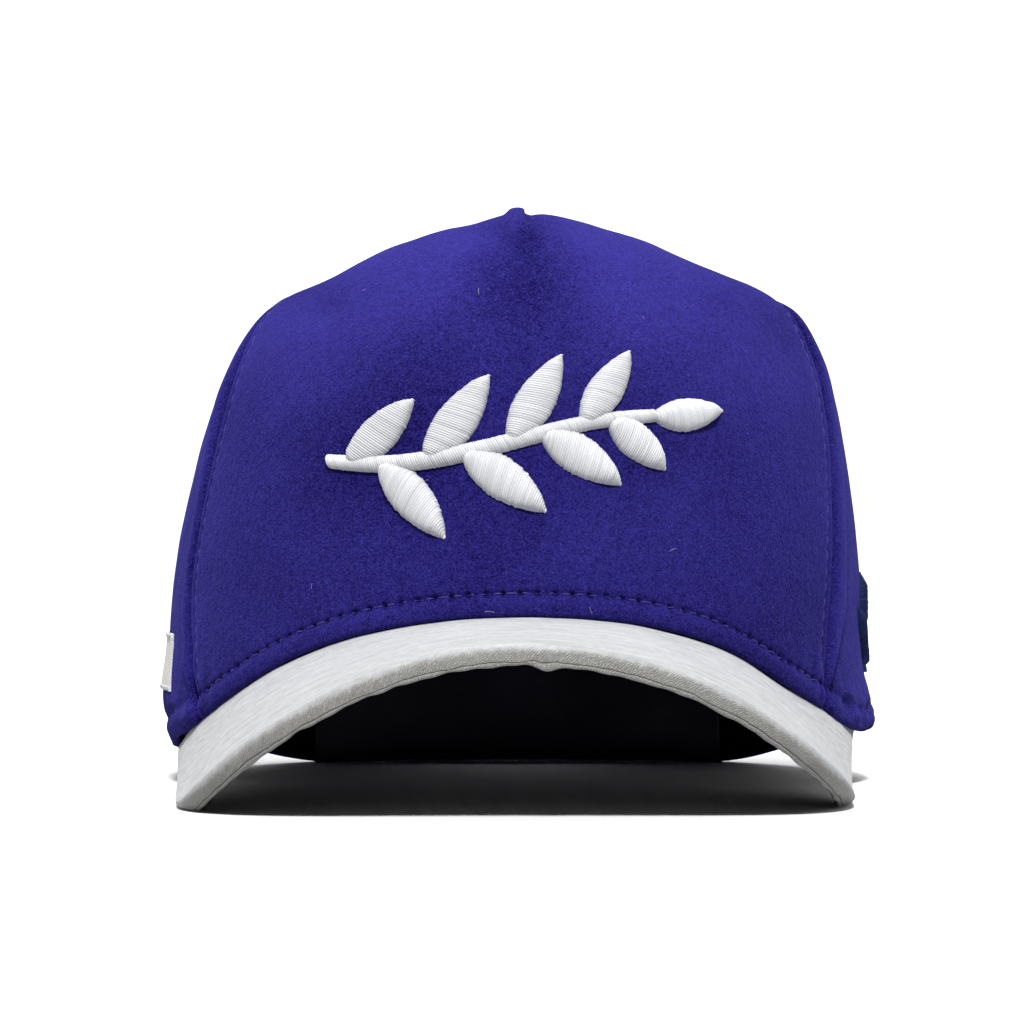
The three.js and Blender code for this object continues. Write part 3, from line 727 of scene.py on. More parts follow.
@dataclass(frozen=True)
class SuedeFinish(Finish):
    """Short brushed nap in cloudy blue-violet, paler and darker by a per-point value that holds the nap's tone
    together with painted highlight and painted shade.
    """

    deep: tuple[float, float, float] = (0.0030, 0.0012, 0.040)
    raised: tuple[float, float, float] = (0.0310, 0.0250, 0.205)
    fleck: tuple[float, float, float] = (0.085, 0.075, 0.36)
    bump_depth: float = 0.0007

    def dress(self, nodes: Nodes, shader: bpy.types.Node) -> None:
        """Gives the shader its colour and its relief."""
        vector = self.place_by_object(nodes)
        nap = self.effect(nodes, SharedEffect.NAP, vector)
        # The per-point value brings painted highlight on rolls, ridges, the top and the shoulders, and painted shade
        # in grooves, stitch holes and below the dart, into the colour.
        tone = nodes.math("MULTIPLY_ADD", nodes.attribute("brushed"), 0.55, -0.25)
        for name, share in (("Cloud", 0.16), ("Tuft", 0.24), ("Fibre", 0.52)):
            tone = nodes.math("MULTIPLY_ADD", nap[name], share, tone)
        colour = nodes.mix(nodes.math("MAXIMUM", tone, 0.0), self.deep, self.raised)
        fleck = self.effect(nodes, SharedEffect.FLECK, vector, Scale=1200.0, Amount=0.07)
        colour = nodes.mix(nodes.math("MULTIPLY", fleck["Fleck"], 0.30), colour, self.fleck)
        self.paint(nodes, shader, colour, nap["Height"])


@dataclass(frozen=True)
class BrushedClothFinish(Finish):
    """Pale cloth: brushed and streaked on the faces, a greyer plain twill where the attribute edge is 1, its greyness
    partly painted shade on the edge that faces down.
    """

    face: tuple[float, float, float] = (0.480, 0.486, 0.496)
    shade: tuple[float, float, float] = (0.220, 0.224, 0.232)
    # The twill's colours are greyer than the face: partly the twill's own tone, partly painted shade on the rolled
    # edge, which faces down and forward.
    edge: tuple[float, float, float] = (0.42, 0.415, 0.398)
    edge_shade: tuple[float, float, float] = (0.20, 0.198, 0.187)
    # A mid-grey underside cloth whose darkness is painted shade under the peak.
    under: tuple[float, float, float] = (0.13, 0.13, 0.135)

    def dress(self, nodes: Nodes, shader: bpy.types.Node) -> None:
        """Gives the shader its colour and its relief."""
        cloth = self.place_by_cloth(nodes)
        stretched = nodes.add("ShaderNodeMapping", {"Vector": cloth})
        stretched.inputs["Scale"].default_value = (0.05, 0.42, 1.0)
        streak = nodes.noise(stretched.outputs["Vector"], 1.0, 6.0, 0.72)
        scales = {"Cloud_Scale": 60.0, "Tuft_Scale": 500.0, "Fibre_Scale": 2600.0}
        nap = self.effect(nodes, SharedEffect.NAP, self.place_by_object(nodes), **scales)
        weave = self.effect(nodes, SharedEffect.WEAVE, cloth, Rib_Pitch=0.7, Thread_Pitch=0.5, Slant=0.9)
        top = nodes.mix(nodes.weigh(nodes.ramp(streak, 0.25, 0.65), 0.65, nap["Tuft"], 0.35), self.shade, self.face)
        fuzz = nodes.math("MULTIPLY_ADD", nap["Fibre"], 0.40, nodes.math("MULTIPLY", nap["Tuft"], 0.20))
        twill = nodes.mix(nodes.math("MULTIPLY_ADD", weave["Rib"], 0.40, fuzz), self.edge_shade, self.edge)
        edge = nodes.attribute("edge")
        colour = nodes.mix(nodes.attribute("under"), nodes.mix(edge, top, twill), self.under)
        brushed = nodes.weigh(streak, 0.5, nap["Height"], 0.5)
        height = nodes.add("ShaderNodeMix", {0: edge, 2: brushed, 3: weave["Height"]}, data_type="FLOAT")
        self.paint(nodes, shader, colour, height.outputs[0])


@dataclass(frozen=True)
class ThreadFinish(Finish):
    """Satin thread whose tone changes from strand to strand; on satin columns the tone also holds painted shade where
    each strand dips between its neighbours.
    """

    light: tuple[float, float, float] = (0.58, 0.585, 0.605)
    dark: tuple[float, float, float] = (0.36, 0.364, 0.382)
    bump_depth: float = 0.00006

    def dress(self, nodes: Nodes, shader: bpy.types.Node) -> None:
        """Gives the shader its colour and its relief."""
        fine = nodes.noise(self.place_by_object(nodes), 3000.0, 2.0)
        tone = nodes.weigh(nodes.attribute("thread_tone"), 0.75, fine, 0.25)
        self.paint(nodes, shader, nodes.mix(tone, self.dark, self.light), fine)


@dataclass(frozen=True)
class TapeFinish(Finish):
    """Woven band cloth with a fine twill."""

    # The default colours are the sweatband's: near black, as painted shade inside the crown.
    light: tuple[float, float, float] = (0.0085, 0.0075, 0.018)
    dark: tuple[float, float, float] = (0.0035, 0.0030, 0.0075)
    rib_pitch: float = 1.1

    def dress(self, nodes: Nodes, shader: bpy.types.Node) -> None:
        """Gives the shader its colour and its relief."""
        cloth = self.place_by_cloth(nodes)
        weave = self.effect(nodes, SharedEffect.WEAVE, cloth, Rib_Pitch=self.rib_pitch, Thread_Pitch=0.6, Slant=1.0)
        self.paint(nodes, shader, nodes.mix(weave["Rib"], self.dark, self.light), weave["Height"])


@dataclass(frozen=True)
class StrapFinish(Finish):
    """Moulded strap with a faint grain and dulled rubbed places."""

    # Near-black colours that paint the shade inside the back of the crown.
    light: tuple[float, float, float] = (0.012, 0.010, 0.045)
    dark: tuple[float, float, float] = (0.008, 0.0065, 0.032)
    smooth: float = 0.38
    dull: float = 0.55
    bump_depth: float = 0.00004

    def dress(self, nodes: Nodes, shader: bpy.types.Node) -> None:
        """Gives the shader its colour and its relief."""
        scales = {"Cloud_Scale": 90.0, "Tuft_Scale": 900.0, "Fibre_Scale": 3500.0}
        nap = self.effect(nodes, SharedEffect.NAP, self.place_by_object(nodes), **scales)
        rough = nodes.add("ShaderNodeMapRange", {"Value": nap["Cloud"], "To Min": self.smooth, "To Max": self.dull})
        nodes.feed(rough.outputs["Result"], shader.inputs["Roughness"])
        self.paint(nodes, shader, nodes.mix(nap["Cloud"], self.dark, self.light), nap["Height"])


class Wardrobe:
    """All the finishes of the cap, made once."""

    def __init__(self) -> None:
        """Builds the shared groups and every material."""
        nap_group()
        weave_group()
        fleck_group()
        self.suede = SuedeFinish("suede_blue_violet", 1.0, 0.04, 0.16, 0.4, (0.20, 0.19, 1.0)).build()
        self.suede_thread = ThreadFinish(
            "topstitch_blue_violet", 0.6, 0.35, light=(0.036, 0.029, 0.20), dark=(0.013, 0.010, 0.10)
        ).build()
        self.peak_cloth = BrushedClothFinish("brushed_pale_cloth", 0.95, 0.15, 0.12).build()
        self.white_thread = ThreadFinish("satin_thread_white", 0.5, 0.4).build()
        self.navy_thread = ThreadFinish(
            "satin_thread_navy", 0.8, 0.08, light=(0.012, 0.021, 0.085), dark=(0.003, 0.006, 0.028)
        ).build()
        self.band = TapeFinish("band_twill", 0.95, 0.1).build()
        self.patch = TapeFinish(
            "patch_weave", 0.9, 0.2, light=(0.80, 0.79, 0.76), dark=(0.55, 0.54, 0.50), rib_pitch=0.9
        ).build()
        self.strap = StrapFinish("strap_moulded", specular=0.45).build()


def settle(mesh: ClothMesh, name: str, material: bpy.types.Material, slot: str, *nodes: str) -> None:
    """Makes a piece and gives it its finish, its body and the solids it stands for.

    Args:
        mesh: the piece's mesh.
        name: the piece's name.
        material: its material.
        slot: not used.
        nodes: solids that it replaces.
    """
    piece = mesh.to_object(name)
    piece.data.materials.append(material)
    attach(piece, BODY)
    if nodes:
        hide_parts(*nodes)
    LOG.info("%s: %d faces", piece.name, len(piece.data.polygons))


# Topstitching


@dataclass
class Topstitch:
    """A row of single stitches along a line on the cloth, in millimetres."""

    pitch: float = 4.0
    cover: float = 0.66
    radius: float = 0.2
    dip: float = 0.34
    seed: int = 5

    def sew(self, mesh: ClothMesh, line: np.ndarray, normals: np.ndarray, lift: float = 0.10) -> None:
        """Adds the stitches to a mesh.

        Args:
            mesh: takes the stitches.
            line: points along the line.
            normals: the cloth's normals there.
            lift: how high the thread's middle stands at its top.
        """
        length = run_length(line[None], 1)[0]
        draw = np.random.default_rng(self.seed)
        share = np.linspace(0.0, 1.0, 9)
        for i in range(int(length[-1] // self.pitch)):
            start = (i + 0.5 * (1 - self.cover)) * self.pitch
            along = start + share * self.pitch * self.cover
            path, out = (
                np.stack([np.interp(along, length, table[:, k]) for k in range(3)], -1) for table in (line, normals)
            )
            arch = np.sin(math.pi * share) ** 0.5
            path = path + out * ((arch - 1.0) * self.dip + lift + draw.uniform(-0.03, 0.03))[:, None]
            width = self.radius * draw.uniform(0.85, 1.1) * (0.55 + 0.45 * arch)
            mesh.add_grid(tube(path, width), closed=True, thread_tone=draw.uniform(0.35, 1.0))


# Crown panels


class PanelEdge(Enum):
    """How a panel's cloth ends at a seam."""

    STITCHED = "turned under, with a row of topstitching beside the seam"
    ROLLED = "rolled up beside the seam"


# The stitches beside a seam: their pitch, how high they stand and how many rows stay bare at the button.
SEAM_PITCH = 3.8
SEAM_LIFT = 0.06
UNSEWN_TOP = 14

# Distances from a seam at which the columns beside it stand.
SEAM_OFFSETS = np.array([0.0, 0.22, 0.45, 0.75, 1.1, 1.5, 2.0, 2.6, 3.2, 3.6, 4.0, 4.4, 5.0, 5.7, 6.5, 7.4, 8.2, 9.0])
BAND = len(SEAM_OFFSETS)


@dataclass
class PanelGrid:
    """Points on a panel, rows by columns, with their normals, turns, walked lengths and their nap tone with painted
    light and shade.
    """

    points: np.ndarray
    normals: np.ndarray
    turns: np.ndarray
    walked: np.ndarray
    brushed: np.ndarray | float = 0.4


@dataclass
class CrownPanel:
    """One panel of the crown: fine cloth with its seams, rolls, stitching and turned-under rim."""

    name: str
    shape: CrownShape
    from_seam: Callable[[np.ndarray], np.ndarray]
    to_seam: Callable[[np.ndarray], np.ndarray]
    from_edge: PanelEdge
    to_edge: PanelEdge
    seed: int
    has_dart: bool = False
    column_step: float = 1.0
    row_step: float = 1.0
    mean_reach: float = 86.0
    seam_band: float = 9.0
    fine_rows: float = 12.0
    stitch_from_seam: float = 4.0
    stitch_from_rim: float = 5.5
    stitch_pitch: float = 4.0
    stitch_fade: float = 6.0
    hole_depth: float = 1.1
    seam_depth: float = 1.9
    seam_reach: float = 0.7
    seam_ridge: float = 0.24
    rim_ridge: float = 0.34
    swell: float = 0.30
    rim_radius: float = 1.1
    second_crease: float = 0.32
    roll_width: float = 4.6
    shoulder_drop: float = 1.5
    stitched_from: float = -10.0
    nap_and_painted_light_places: tuple[tuple[float, float, float, float], ...] = ()

    def __post_init__(self) -> None:
        """Measures the panel's face into tables."""
        rise = np.linspace(0.0, self.shape.button_hole, 241)
        low = float(np.min(self.from_seam(rise))) * DEG - 0.03
        high = float(np.max(self.to_seam(rise))) * DEG + 0.03
        self.turns = np.linspace(low, high, 161)
        points = self.shape.crown(self.turns[:, None], rise[None])
        walked = run_length(points, 1)
        self.lengths = walked[:, -1]
        self.shares = np.linspace(0.0, 1.0, 401)
        self.rises = np.stack([np.interp(self.shares * w[-1], w, rise) for w in walked])

    def length_at(self, turn: np.ndarray) -> np.ndarray:
        """Returns the panel's length from the rim to the button along a turn."""
        return np.interp(turn, self.turns, self.lengths)

    def rise_at(self, turn: np.ndarray, walked: np.ndarray) -> np.ndarray:
        """Returns the rise that lies a walked length above the rim."""
        row = (turn - self.turns[0]) / (self.turns[1] - self.turns[0])
        column = np.clip(walked / self.length_at(turn), 0.0, 1.0) * (len(self.shares) - 1)
        return look_up(self.rises, row, column)

    def turn_grid(self, rise: np.ndarray, middle: np.ndarray) -> np.ndarray:
        """Returns the turn of each column at the given rises.

        Args:
            rise: rises, rows by columns.
            middle: shares of the way between the two seam bands, for the columns there.

        Returns:
            Turns in radians, rows by columns.
        """
        turns = np.empty_like(rise)
        step = 0.004
        ends = []
        for seam, sign, part in ((self.from_seam, 1.0, slice(0, BAND)), (self.to_seam, -1.0, slice(-BAND, None))):
            edge = seam(rise[:, part]) * DEG
            paced = self.shape.crown(edge + step, rise[:, part]) - self.shape.crown(edge - step, rise[:, part])
            pace = np.linalg.norm(paced, axis=-1) / (2 * step)
            width = (self.to_seam(rise[:, part]) - self.from_seam(rise[:, part])) * DEG * pace
            squeeze = np.minimum(1.0, 0.36 * width / self.seam_band)
            distance = SEAM_OFFSETS if sign > 0 else SEAM_OFFSETS[::-1]
            turns[:, part] = edge + sign * distance[None] * squeeze / pace
            ends.append(turns[:, BAND - 1] if sign > 0 else turns[:, -BAND])
        turns[:, BAND:-BAND] = ends[0][:, None] + (ends[1] - ends[0])[:, None] * middle[None]
        return turns

    def middle_shares(self) -> np.ndarray:
        """Returns the shares of the columns between the seam bands, closer together at a dart."""
        rise = np.array([[0.3]])
        width = float((self.to_seam(rise) - self.from_seam(rise))[0, 0]) * DEG * self.mean_reach - 2 * self.seam_band
        shares = np.linspace(0.0, 1.0, max(8, int(width / self.column_step)) + 2)[1:-1]
        if self.has_dart:
            offset = shares - 0.5
            shares = 0.5 + offset * (0.35 + 0.65 * np.clip(np.abs(offset) / 0.5, 0, 1) ** 0.6)
            shares = np.unique(np.concatenate([shares, 0.5 + np.array([-0.012, -0.006, 0.0, 0.006, 0.012])]))
        return shares

    def base(self, walked: np.ndarray, depth: np.ndarray, middle: np.ndarray) -> PanelGrid:
        """Lays a grid over the panel's plain face.

        Args:
            walked: for each row, the length above the rim, or SHARE and a share of the way above the fine rows.
            depth: for each row, the depth under the face.
            middle: shares of the columns between the seam bands.

        Returns:
            The grid.
        """
        columns = 2 * BAND + len(middle)
        rise = np.full((len(walked), columns), 0.3)
        rows = walked[:, None] * np.ones((1, columns))
        share = np.clip(rows - SHARE, 0.0, 1.0)
        for _ in range(3):
            turn = self.turn_grid(rise, middle)
            shared = self.fine_rows + share * (self.length_at(turn) - self.fine_rows)
            length = np.where(rows >= SHARE, shared, rows)
            rise = self.rise_at(turn, length)
        turn = self.turn_grid(rise, middle)
        normal = surface_normals(self.shape.crown, turn, rise)
        points = self.shape.crown(turn, rise) - normal * depth[:, None, None]
        return PanelGrid(points, normal, turn, length)

    def holes(self, grid: PanelGrid, from_left: np.ndarray) -> tuple[np.ndarray, np.ndarray]:
        """Finds the stitch holes along the rim.

        Args:
            grid: what base returned.
            from_left: millimetres from the left seam.

        Returns:
            How far the row of stitches shows, and how near each point is to a hole's place along it, from 0 to 1.
        """
        angle = np.abs(grid.turns) / DEG
        seen = smooth_step(angle, self.stitched_from - self.stitch_fade, self.stitched_from + self.stitch_fade)
        line = from_left + ripples(grid.points, 30.0, self.seed) * 0.05
        return seen, seen * np.clip(np.cos(line * (FULL_TURN / self.stitch_pitch)), 0, 1) ** 3

    def edge_relief(self, edge: PanelEdge, distance: np.ndarray, walked: np.ndarray, wave: np.ndarray) -> np.ndarray:
        """Returns how the cloth stands up or sinks beside a seam.

        Args:
            edge: how the cloth ends there.
            distance: millimetres from the seam.
            walked: millimetres above the rim.
            wave: a slow unevenness from -1 to 1.

        Returns:
            Millimetres off the plain face.
        """
        relief = -self.seam_depth * np.exp(-distance / self.seam_reach)
        if edge is PanelEdge.STITCHED:
            relief += self.seam_ridge * (bell(distance, 2.0, 1.3) - bell(distance, self.stitch_from_seam, 0.55))
        if edge is PanelEdge.ROLLED:
            width = 3.4 + self.roll_width * smooth_step(walked, 4.0, 30.0) + 0.8 * wave
            share = np.clip(distance / width, 0.0, 1.0)
            relief += (0.85 + 0.2 * wave) * np.sin(math.pi * share) ** 0.8 - 0.8 * bell(distance, 0.7, 0.9)
            relief -= self.second_crease * bell(distance, width, 0.9) * smooth_step(distance, 1.5, 3.0)
        return relief

    def relief(self, grid: PanelGrid, outer: np.ndarray) -> np.ndarray:
        """Returns the cloth's relief off the plain face.

        Args:
            grid: what base returned.
            outer: 1 on rows of the outer face, 0 inside.

        Returns:
            Millimetres off the plain face.
        """
        points, walked = grid.points, grid.walked
        from_left = run_length(points, 1)
        from_right = from_left[:, -1:] - from_left
        wave = ripples(points, 55.0, self.seed + 3)
        total = self.edge_relief(self.from_edge, from_left, walked, wave)
        total += self.edge_relief(self.to_edge, from_right, walked, wave)
        seen, hole = self.holes(grid, from_left)
        stitch = self.stitch_from_rim
        total += self.rim_ridge * (bell(walked, 2.9, 1.7) - seen * bell(walked, stitch, 0.62))
        total -= hole * (self.hole_depth * bell(walked, stitch - 0.1, 0.65) + 0.16 * bell(walked, stitch + 1.3, 1.1))
        total += self.swell * ripples(points, 46.0, self.seed + 1) + 0.07 * ripples(points, 11.0, self.seed + 2)
        corner = bell(np.minimum(from_left, from_right), 0.0, 11.0) * bell(walked, 0.0, 15.0)
        total += corner * 0.55 * ripples(np.stack([from_left, walked * 0.6], -1), 7.0, self.seed + 5, 6)
        soft = (1.0 - seen) * bell(walked, 5.0, 7.0)
        total += soft * (0.45 * ripples(points, 9.0, self.seed + 6, 8) - 0.5 * bell(walked, 6.5 + 1.2 * wave, 1.3))
        total -= self.shoulder_drop * bell(points[..., 2], 111.0, 9.0) * smooth_step(points[..., 0], 54.0, 66.0)
        if self.has_dart:
            total += self.dart_relief(points[..., 0], points[..., 2])
        return total * outer[:, None]

    def dart_relief(self, across: np.ndarray, height: np.ndarray) -> np.ndarray:
        """Returns the relief of the dart's crease and of the hollows beside it.

        Args:
            across: millimetres to the right of the middle.
            height: millimetres above the table.

        Returns:
            Millimetres off the plain face.
        """
        fade = smooth_step(height, 127.0, 135.0)
        crease = across - (2.6 + 0.10 * (138.0 - height))
        beside = smooth_step(-across, 1.2, 3.6) - smooth_step(-across, 9.0, 17.0)
        total = 0.3 * bell(crease, -3.0, 2.2) - 0.7 * bell(crease, 0.0, 0.7) - 0.4 * bell(crease, 0.6, 2.0)
        hollows = 1.2 * bell(across, -47.0, 10.0) + 0.6 * bell(across, 44.0, 10.0)
        return fade * (total - 0.85 * beside) - smooth_step(height, 108.0, 117.0) * hollows

    def brushed(self, grid: PanelGrid, relief: np.ndarray) -> np.ndarray:
        """Returns the nap's tone with painted light, from 0 to 1: painted highlight on rolls and ridges, painted shade
        in grooves and stitch holes, and the listed places.

        Args:
            grid: what base returned.
            relief: millimetres off the plain face.

        Returns:
            A value for each point.
        """
        points = grid.points
        # Painted shade where the cloth sinks below its plain face and painted highlight where it stands above it, over
        # a slow, uneven nap tone.
        total = 0.36 + 0.12 * ripples(points, 60.0, self.seed + 7) + 0.22 * np.clip(relief, -1.2, 0.0)
        total += 0.38 * np.clip(relief, 0.0, 0.8)
        _, hole = self.holes(grid, run_length(points, 1))
        # Painted shade in the stitch holes.
        total -= self.hole_depth * bell(grid.walked, self.stitch_from_rim - 0.1, 0.6) * hole
        # The listed places add painted highlight on the top and shoulders, painted shade under the button and below
        # the dart, and a little nap tone elsewhere.
        for across, height, reach, strength in self.nap_and_painted_light_places:
            far = ((points[..., 0] - across) ** 2 + (points[..., 2] - height) ** 2) / reach**2
            total += strength * np.exp(-far)
        return np.clip(total, 0.0, 1.0)

    def lay(self, walked: np.ndarray, depth: np.ndarray, middle: np.ndarray) -> PanelGrid:
        """Lays a grid with its relief and its brushing.

        Args:
            walked: as for base.
            depth: as for base.
            middle: as for base.

        Returns:
            The grid.
        """
        grid = self.base(walked, depth, middle)
        relief = self.relief(grid, 1.0 - depth / (2 * self.rim_radius))
        grid.brushed = self.brushed(grid, relief)
        grid.points = grid.points + grid.normals * relief[..., None]
        return grid

    def build(self, thread: ClothMesh) -> ClothMesh:
        """Builds the panel and adds its topstitching to a mesh.

        Args:
            thread: takes the stitches.

        Returns:
            The panel's mesh.
        """
        radius = self.rim_radius
        angle = np.linspace(-90.0, 90.0, 9)[1:-1] * DEG
        inner_low = np.array([11.0, 8.0, 5.5, 3.5, 2.2, radius])
        outer_low = [1.1, 1.4, 1.8, 2.3, 2.8, 3.3, 3.8, 4.3, 4.7, 5.0, 5.25, 5.5, 5.75, 6.0, 6.35, 6.8, 7.4, 8.2]
        walked = np.concatenate([inner_low, radius * (1.0 - np.cos(angle)), outer_low])
        inner_depth = np.full(len(inner_low), 2 * radius)
        depth = np.concatenate([inner_depth, radius * (1 - np.sin(angle)), np.zeros(len(outer_low))])
        middle = self.middle_shares()
        fine = np.unique(np.concatenate([middle, (middle[1:] + middle[:-1]) / 2]))
        low = self.lay(walked, depth, fine)
        high_share = np.linspace(0.0, 1.0, int(np.mean(self.lengths) / self.row_step))
        high_walked = np.concatenate([[outer_low[-1], 9.2, 10.2, 11.1], SHARE + high_share])
        high = self.lay(high_walked, np.zeros(len(high_walked)), middle)
        columns = low.points.shape[1]
        shared = np.concatenate([np.arange(BAND), np.searchsorted(fine, middle) + BAND, np.arange(-BAND, 0) + columns])
        between = np.setdiff1d(np.arange(columns), shared)
        join = low.points[-1]
        high.points[0] = join[shared]
        join[between] = (join[between - 1] + join[between + 1]) / 2
        inner_share = np.linspace(1.0, 0.0, 36)
        inside = self.base(SHARE + inner_share, np.full(len(inner_share), 2 * radius), fine)
        mesh = ClothMesh().add_grid(np.concatenate([inside.points, low.points[:1]]), brushed=inside.brushed)
        mesh.add_grid(low.points, brushed=low.brushed).add_grid(high.points, brushed=high.brushed)
        row = int(np.flatnonzero((walked == self.stitch_from_rim) & (depth == 0.0))[0])
        sewn = np.abs(low.turns[row]) / DEG > self.stitched_from
        sewn[[0, 1, -2, -1]] = False
        rim_stitches = Topstitch(self.stitch_pitch, seed=self.seed)
        rim_stitches.sew(thread, low.points[row][sewn], low.normals[row][sewn])
        column = int(np.flatnonzero(SEAM_OFFSETS == self.stitch_from_seam)[0])
        seam_stitches = Topstitch(SEAM_PITCH, seed=self.seed + 1)
        for edge, where in ((self.from_edge, column), (self.to_edge, -1 - column)):
            if edge is PanelEdge.STITCHED:
                line, out = (table[:-UNSEWN_TOP, where] for table in (high.points, high.normals))
                seam_stitches.sew(thread, line, out, SEAM_LIFT)
        return mesh


# Places on the front where the nap tone is made paler or darker: across, height, reach and strength. The strong pale
# places on the top and the shoulders are painted highlight, the dark ones under the button and below the dart are
# painted shade, and the weak ones are nap tone.
FRONT_NAP_AND_PAINTED_LIGHT = (
    (-27.0, 129.0, 18.0, 0.85), (29.0, 127.0, 21.0, 1.0), (-52.0, 103.0, 17.0, 0.55), (56.0, 101.0, 19.0, 0.68),
    (6.0, 119.0, 13.0, -0.42), (2.2, 131.0, 3.4, -0.5), (-9.0, 132.0, 7.0, 0.3), (14.0, 130.0, 7.0, 0.2),
    (-64.0, 42.0, 13.0, 0.2), (0.0, 60.0, 30.0, -0.12), (34.0, 84.0, 9.0, -0.14), (-8.0, 98.0, 10.0, 0.12),
    (60.0, 36.0, 18.0, -0.24), (-62.0, 76.0, 20.0, -0.16),
)


@dataclass
class Crown:
    """The five panels, the button and their stitching."""

    shape: CrownShape
    wardrobe: Wardrobe
    button_radius: float = 7.5
    button_height: float = 4.4
    button_tilt: float = 11.0
    button_lift: float = -0.1
    button_sides: int = 72
    pleat_count: int = 10
    pleat_depth: float = 0.012

    def __post_init__(self) -> None:
        """Draws the seams from the rim to the button."""
        rise = [0.0, 0.16, 0.34, 0.5, 0.66, 0.82, 1.0]
        self.front_left = NaturalCurve(rise, [61.5, 66.5, 67.2, 67.2, 70.2, 77.0, 85.0])
        self.front_right = NaturalCurve(rise, [59.0, 62.4, 66.3, 67.8, 70.0, 76.6, 85.0])
        self.rear = NaturalCurve(rise, [121.0, 122.0, 123.0, 123.5, 124.0, 124.0, 124.0])

    def panels(self) -> list[CrownPanel]:
        """Returns the panels with their seams and edges."""
        left, right, rear = self.front_left, self.front_right, self.rear
        front = CrownPanel(
            "front_panel", self.shape, lambda r: -left(r), right, PanelEdge.STITCHED, PanelEdge.STITCHED, 11,
            has_dart=True, nap_and_painted_light_places=FRONT_NAP_AND_PAINTED_LIGHT,
        )
        side_right = CrownPanel(
            "side_panel_right", self.shape, right, rear, PanelEdge.ROLLED, PanelEdge.STITCHED, 23,
            second_crease=0.4, roll_width=6.6, stitched_from=92.0,
        )
        side_left = CrownPanel(
            "side_panel_left", self.shape, lambda r: -rear(r), lambda r: -left(r),
            PanelEdge.STITCHED, PanelEdge.ROLLED, 37, second_crease=0.14, stitched_from=92.0,
        )
        return [front, side_right, side_left]

    def build(self) -> None:
        """Builds every piece of the crown."""
        thread = ClothMesh()
        backs = [BackPanel("back_panel_right", self.shape, self.rear, 1.0)]
        backs.append(BackPanel("back_panel_left", self.shape, self.rear, -1.0))
        for panel in self.panels() + backs:
            settle(panel.build(thread), f"{panel.name}_cloth", self.wardrobe.suede, "crown_suede", panel.name)
        settle(thread, "crown_topstitching", self.wardrobe.suede_thread, "crown_suede")
        self.build_button()

    def build_button(self) -> None:
        """Builds the covered button on the top."""
        centre = self.shape.face(0.0, 1.0) + self.button_lift * UP
        lift = self.button_height * 0.25
        angle = np.linspace(0.0, math.pi / 2, 18)
        foot_radius = [0.01, 3.0, 5.4, 6.0, 6.7, 7.2]
        foot_height = [-1.5, -1.5, -1.5, -0.8, 0.0, 0.5]
        radius = np.maximum(0.01, np.concatenate([foot_radius, self.button_radius * np.cos(angle)]))[:, None]
        height = np.concatenate([foot_height, lift + (self.button_height - lift) * np.sin(angle)])[:, None]
        turn = (np.arange(self.button_sides) * (FULL_TURN / self.button_sides))[None]
        pleats = self.pleat_depth * np.cos(self.pleat_count * turn)
        reach = radius * (1.0 + pleats * (radius / self.button_radius) ** 2)
        x, y = reach * np.cos(turn), reach * np.sin(turn)
        sine, cosine = math.sin(-self.button_tilt * DEG), math.cos(-self.button_tilt * DEG)
        tilted = np.stack([x, y * cosine - height * sine, y * sine + height * cosine], -1)
        cover = ClothMesh().add_grid(centre + tilted, closed=True, brushed=0.45)
        settle(cover, "top_button_cover", self.wardrobe.suede, "crown_suede", "top_button")


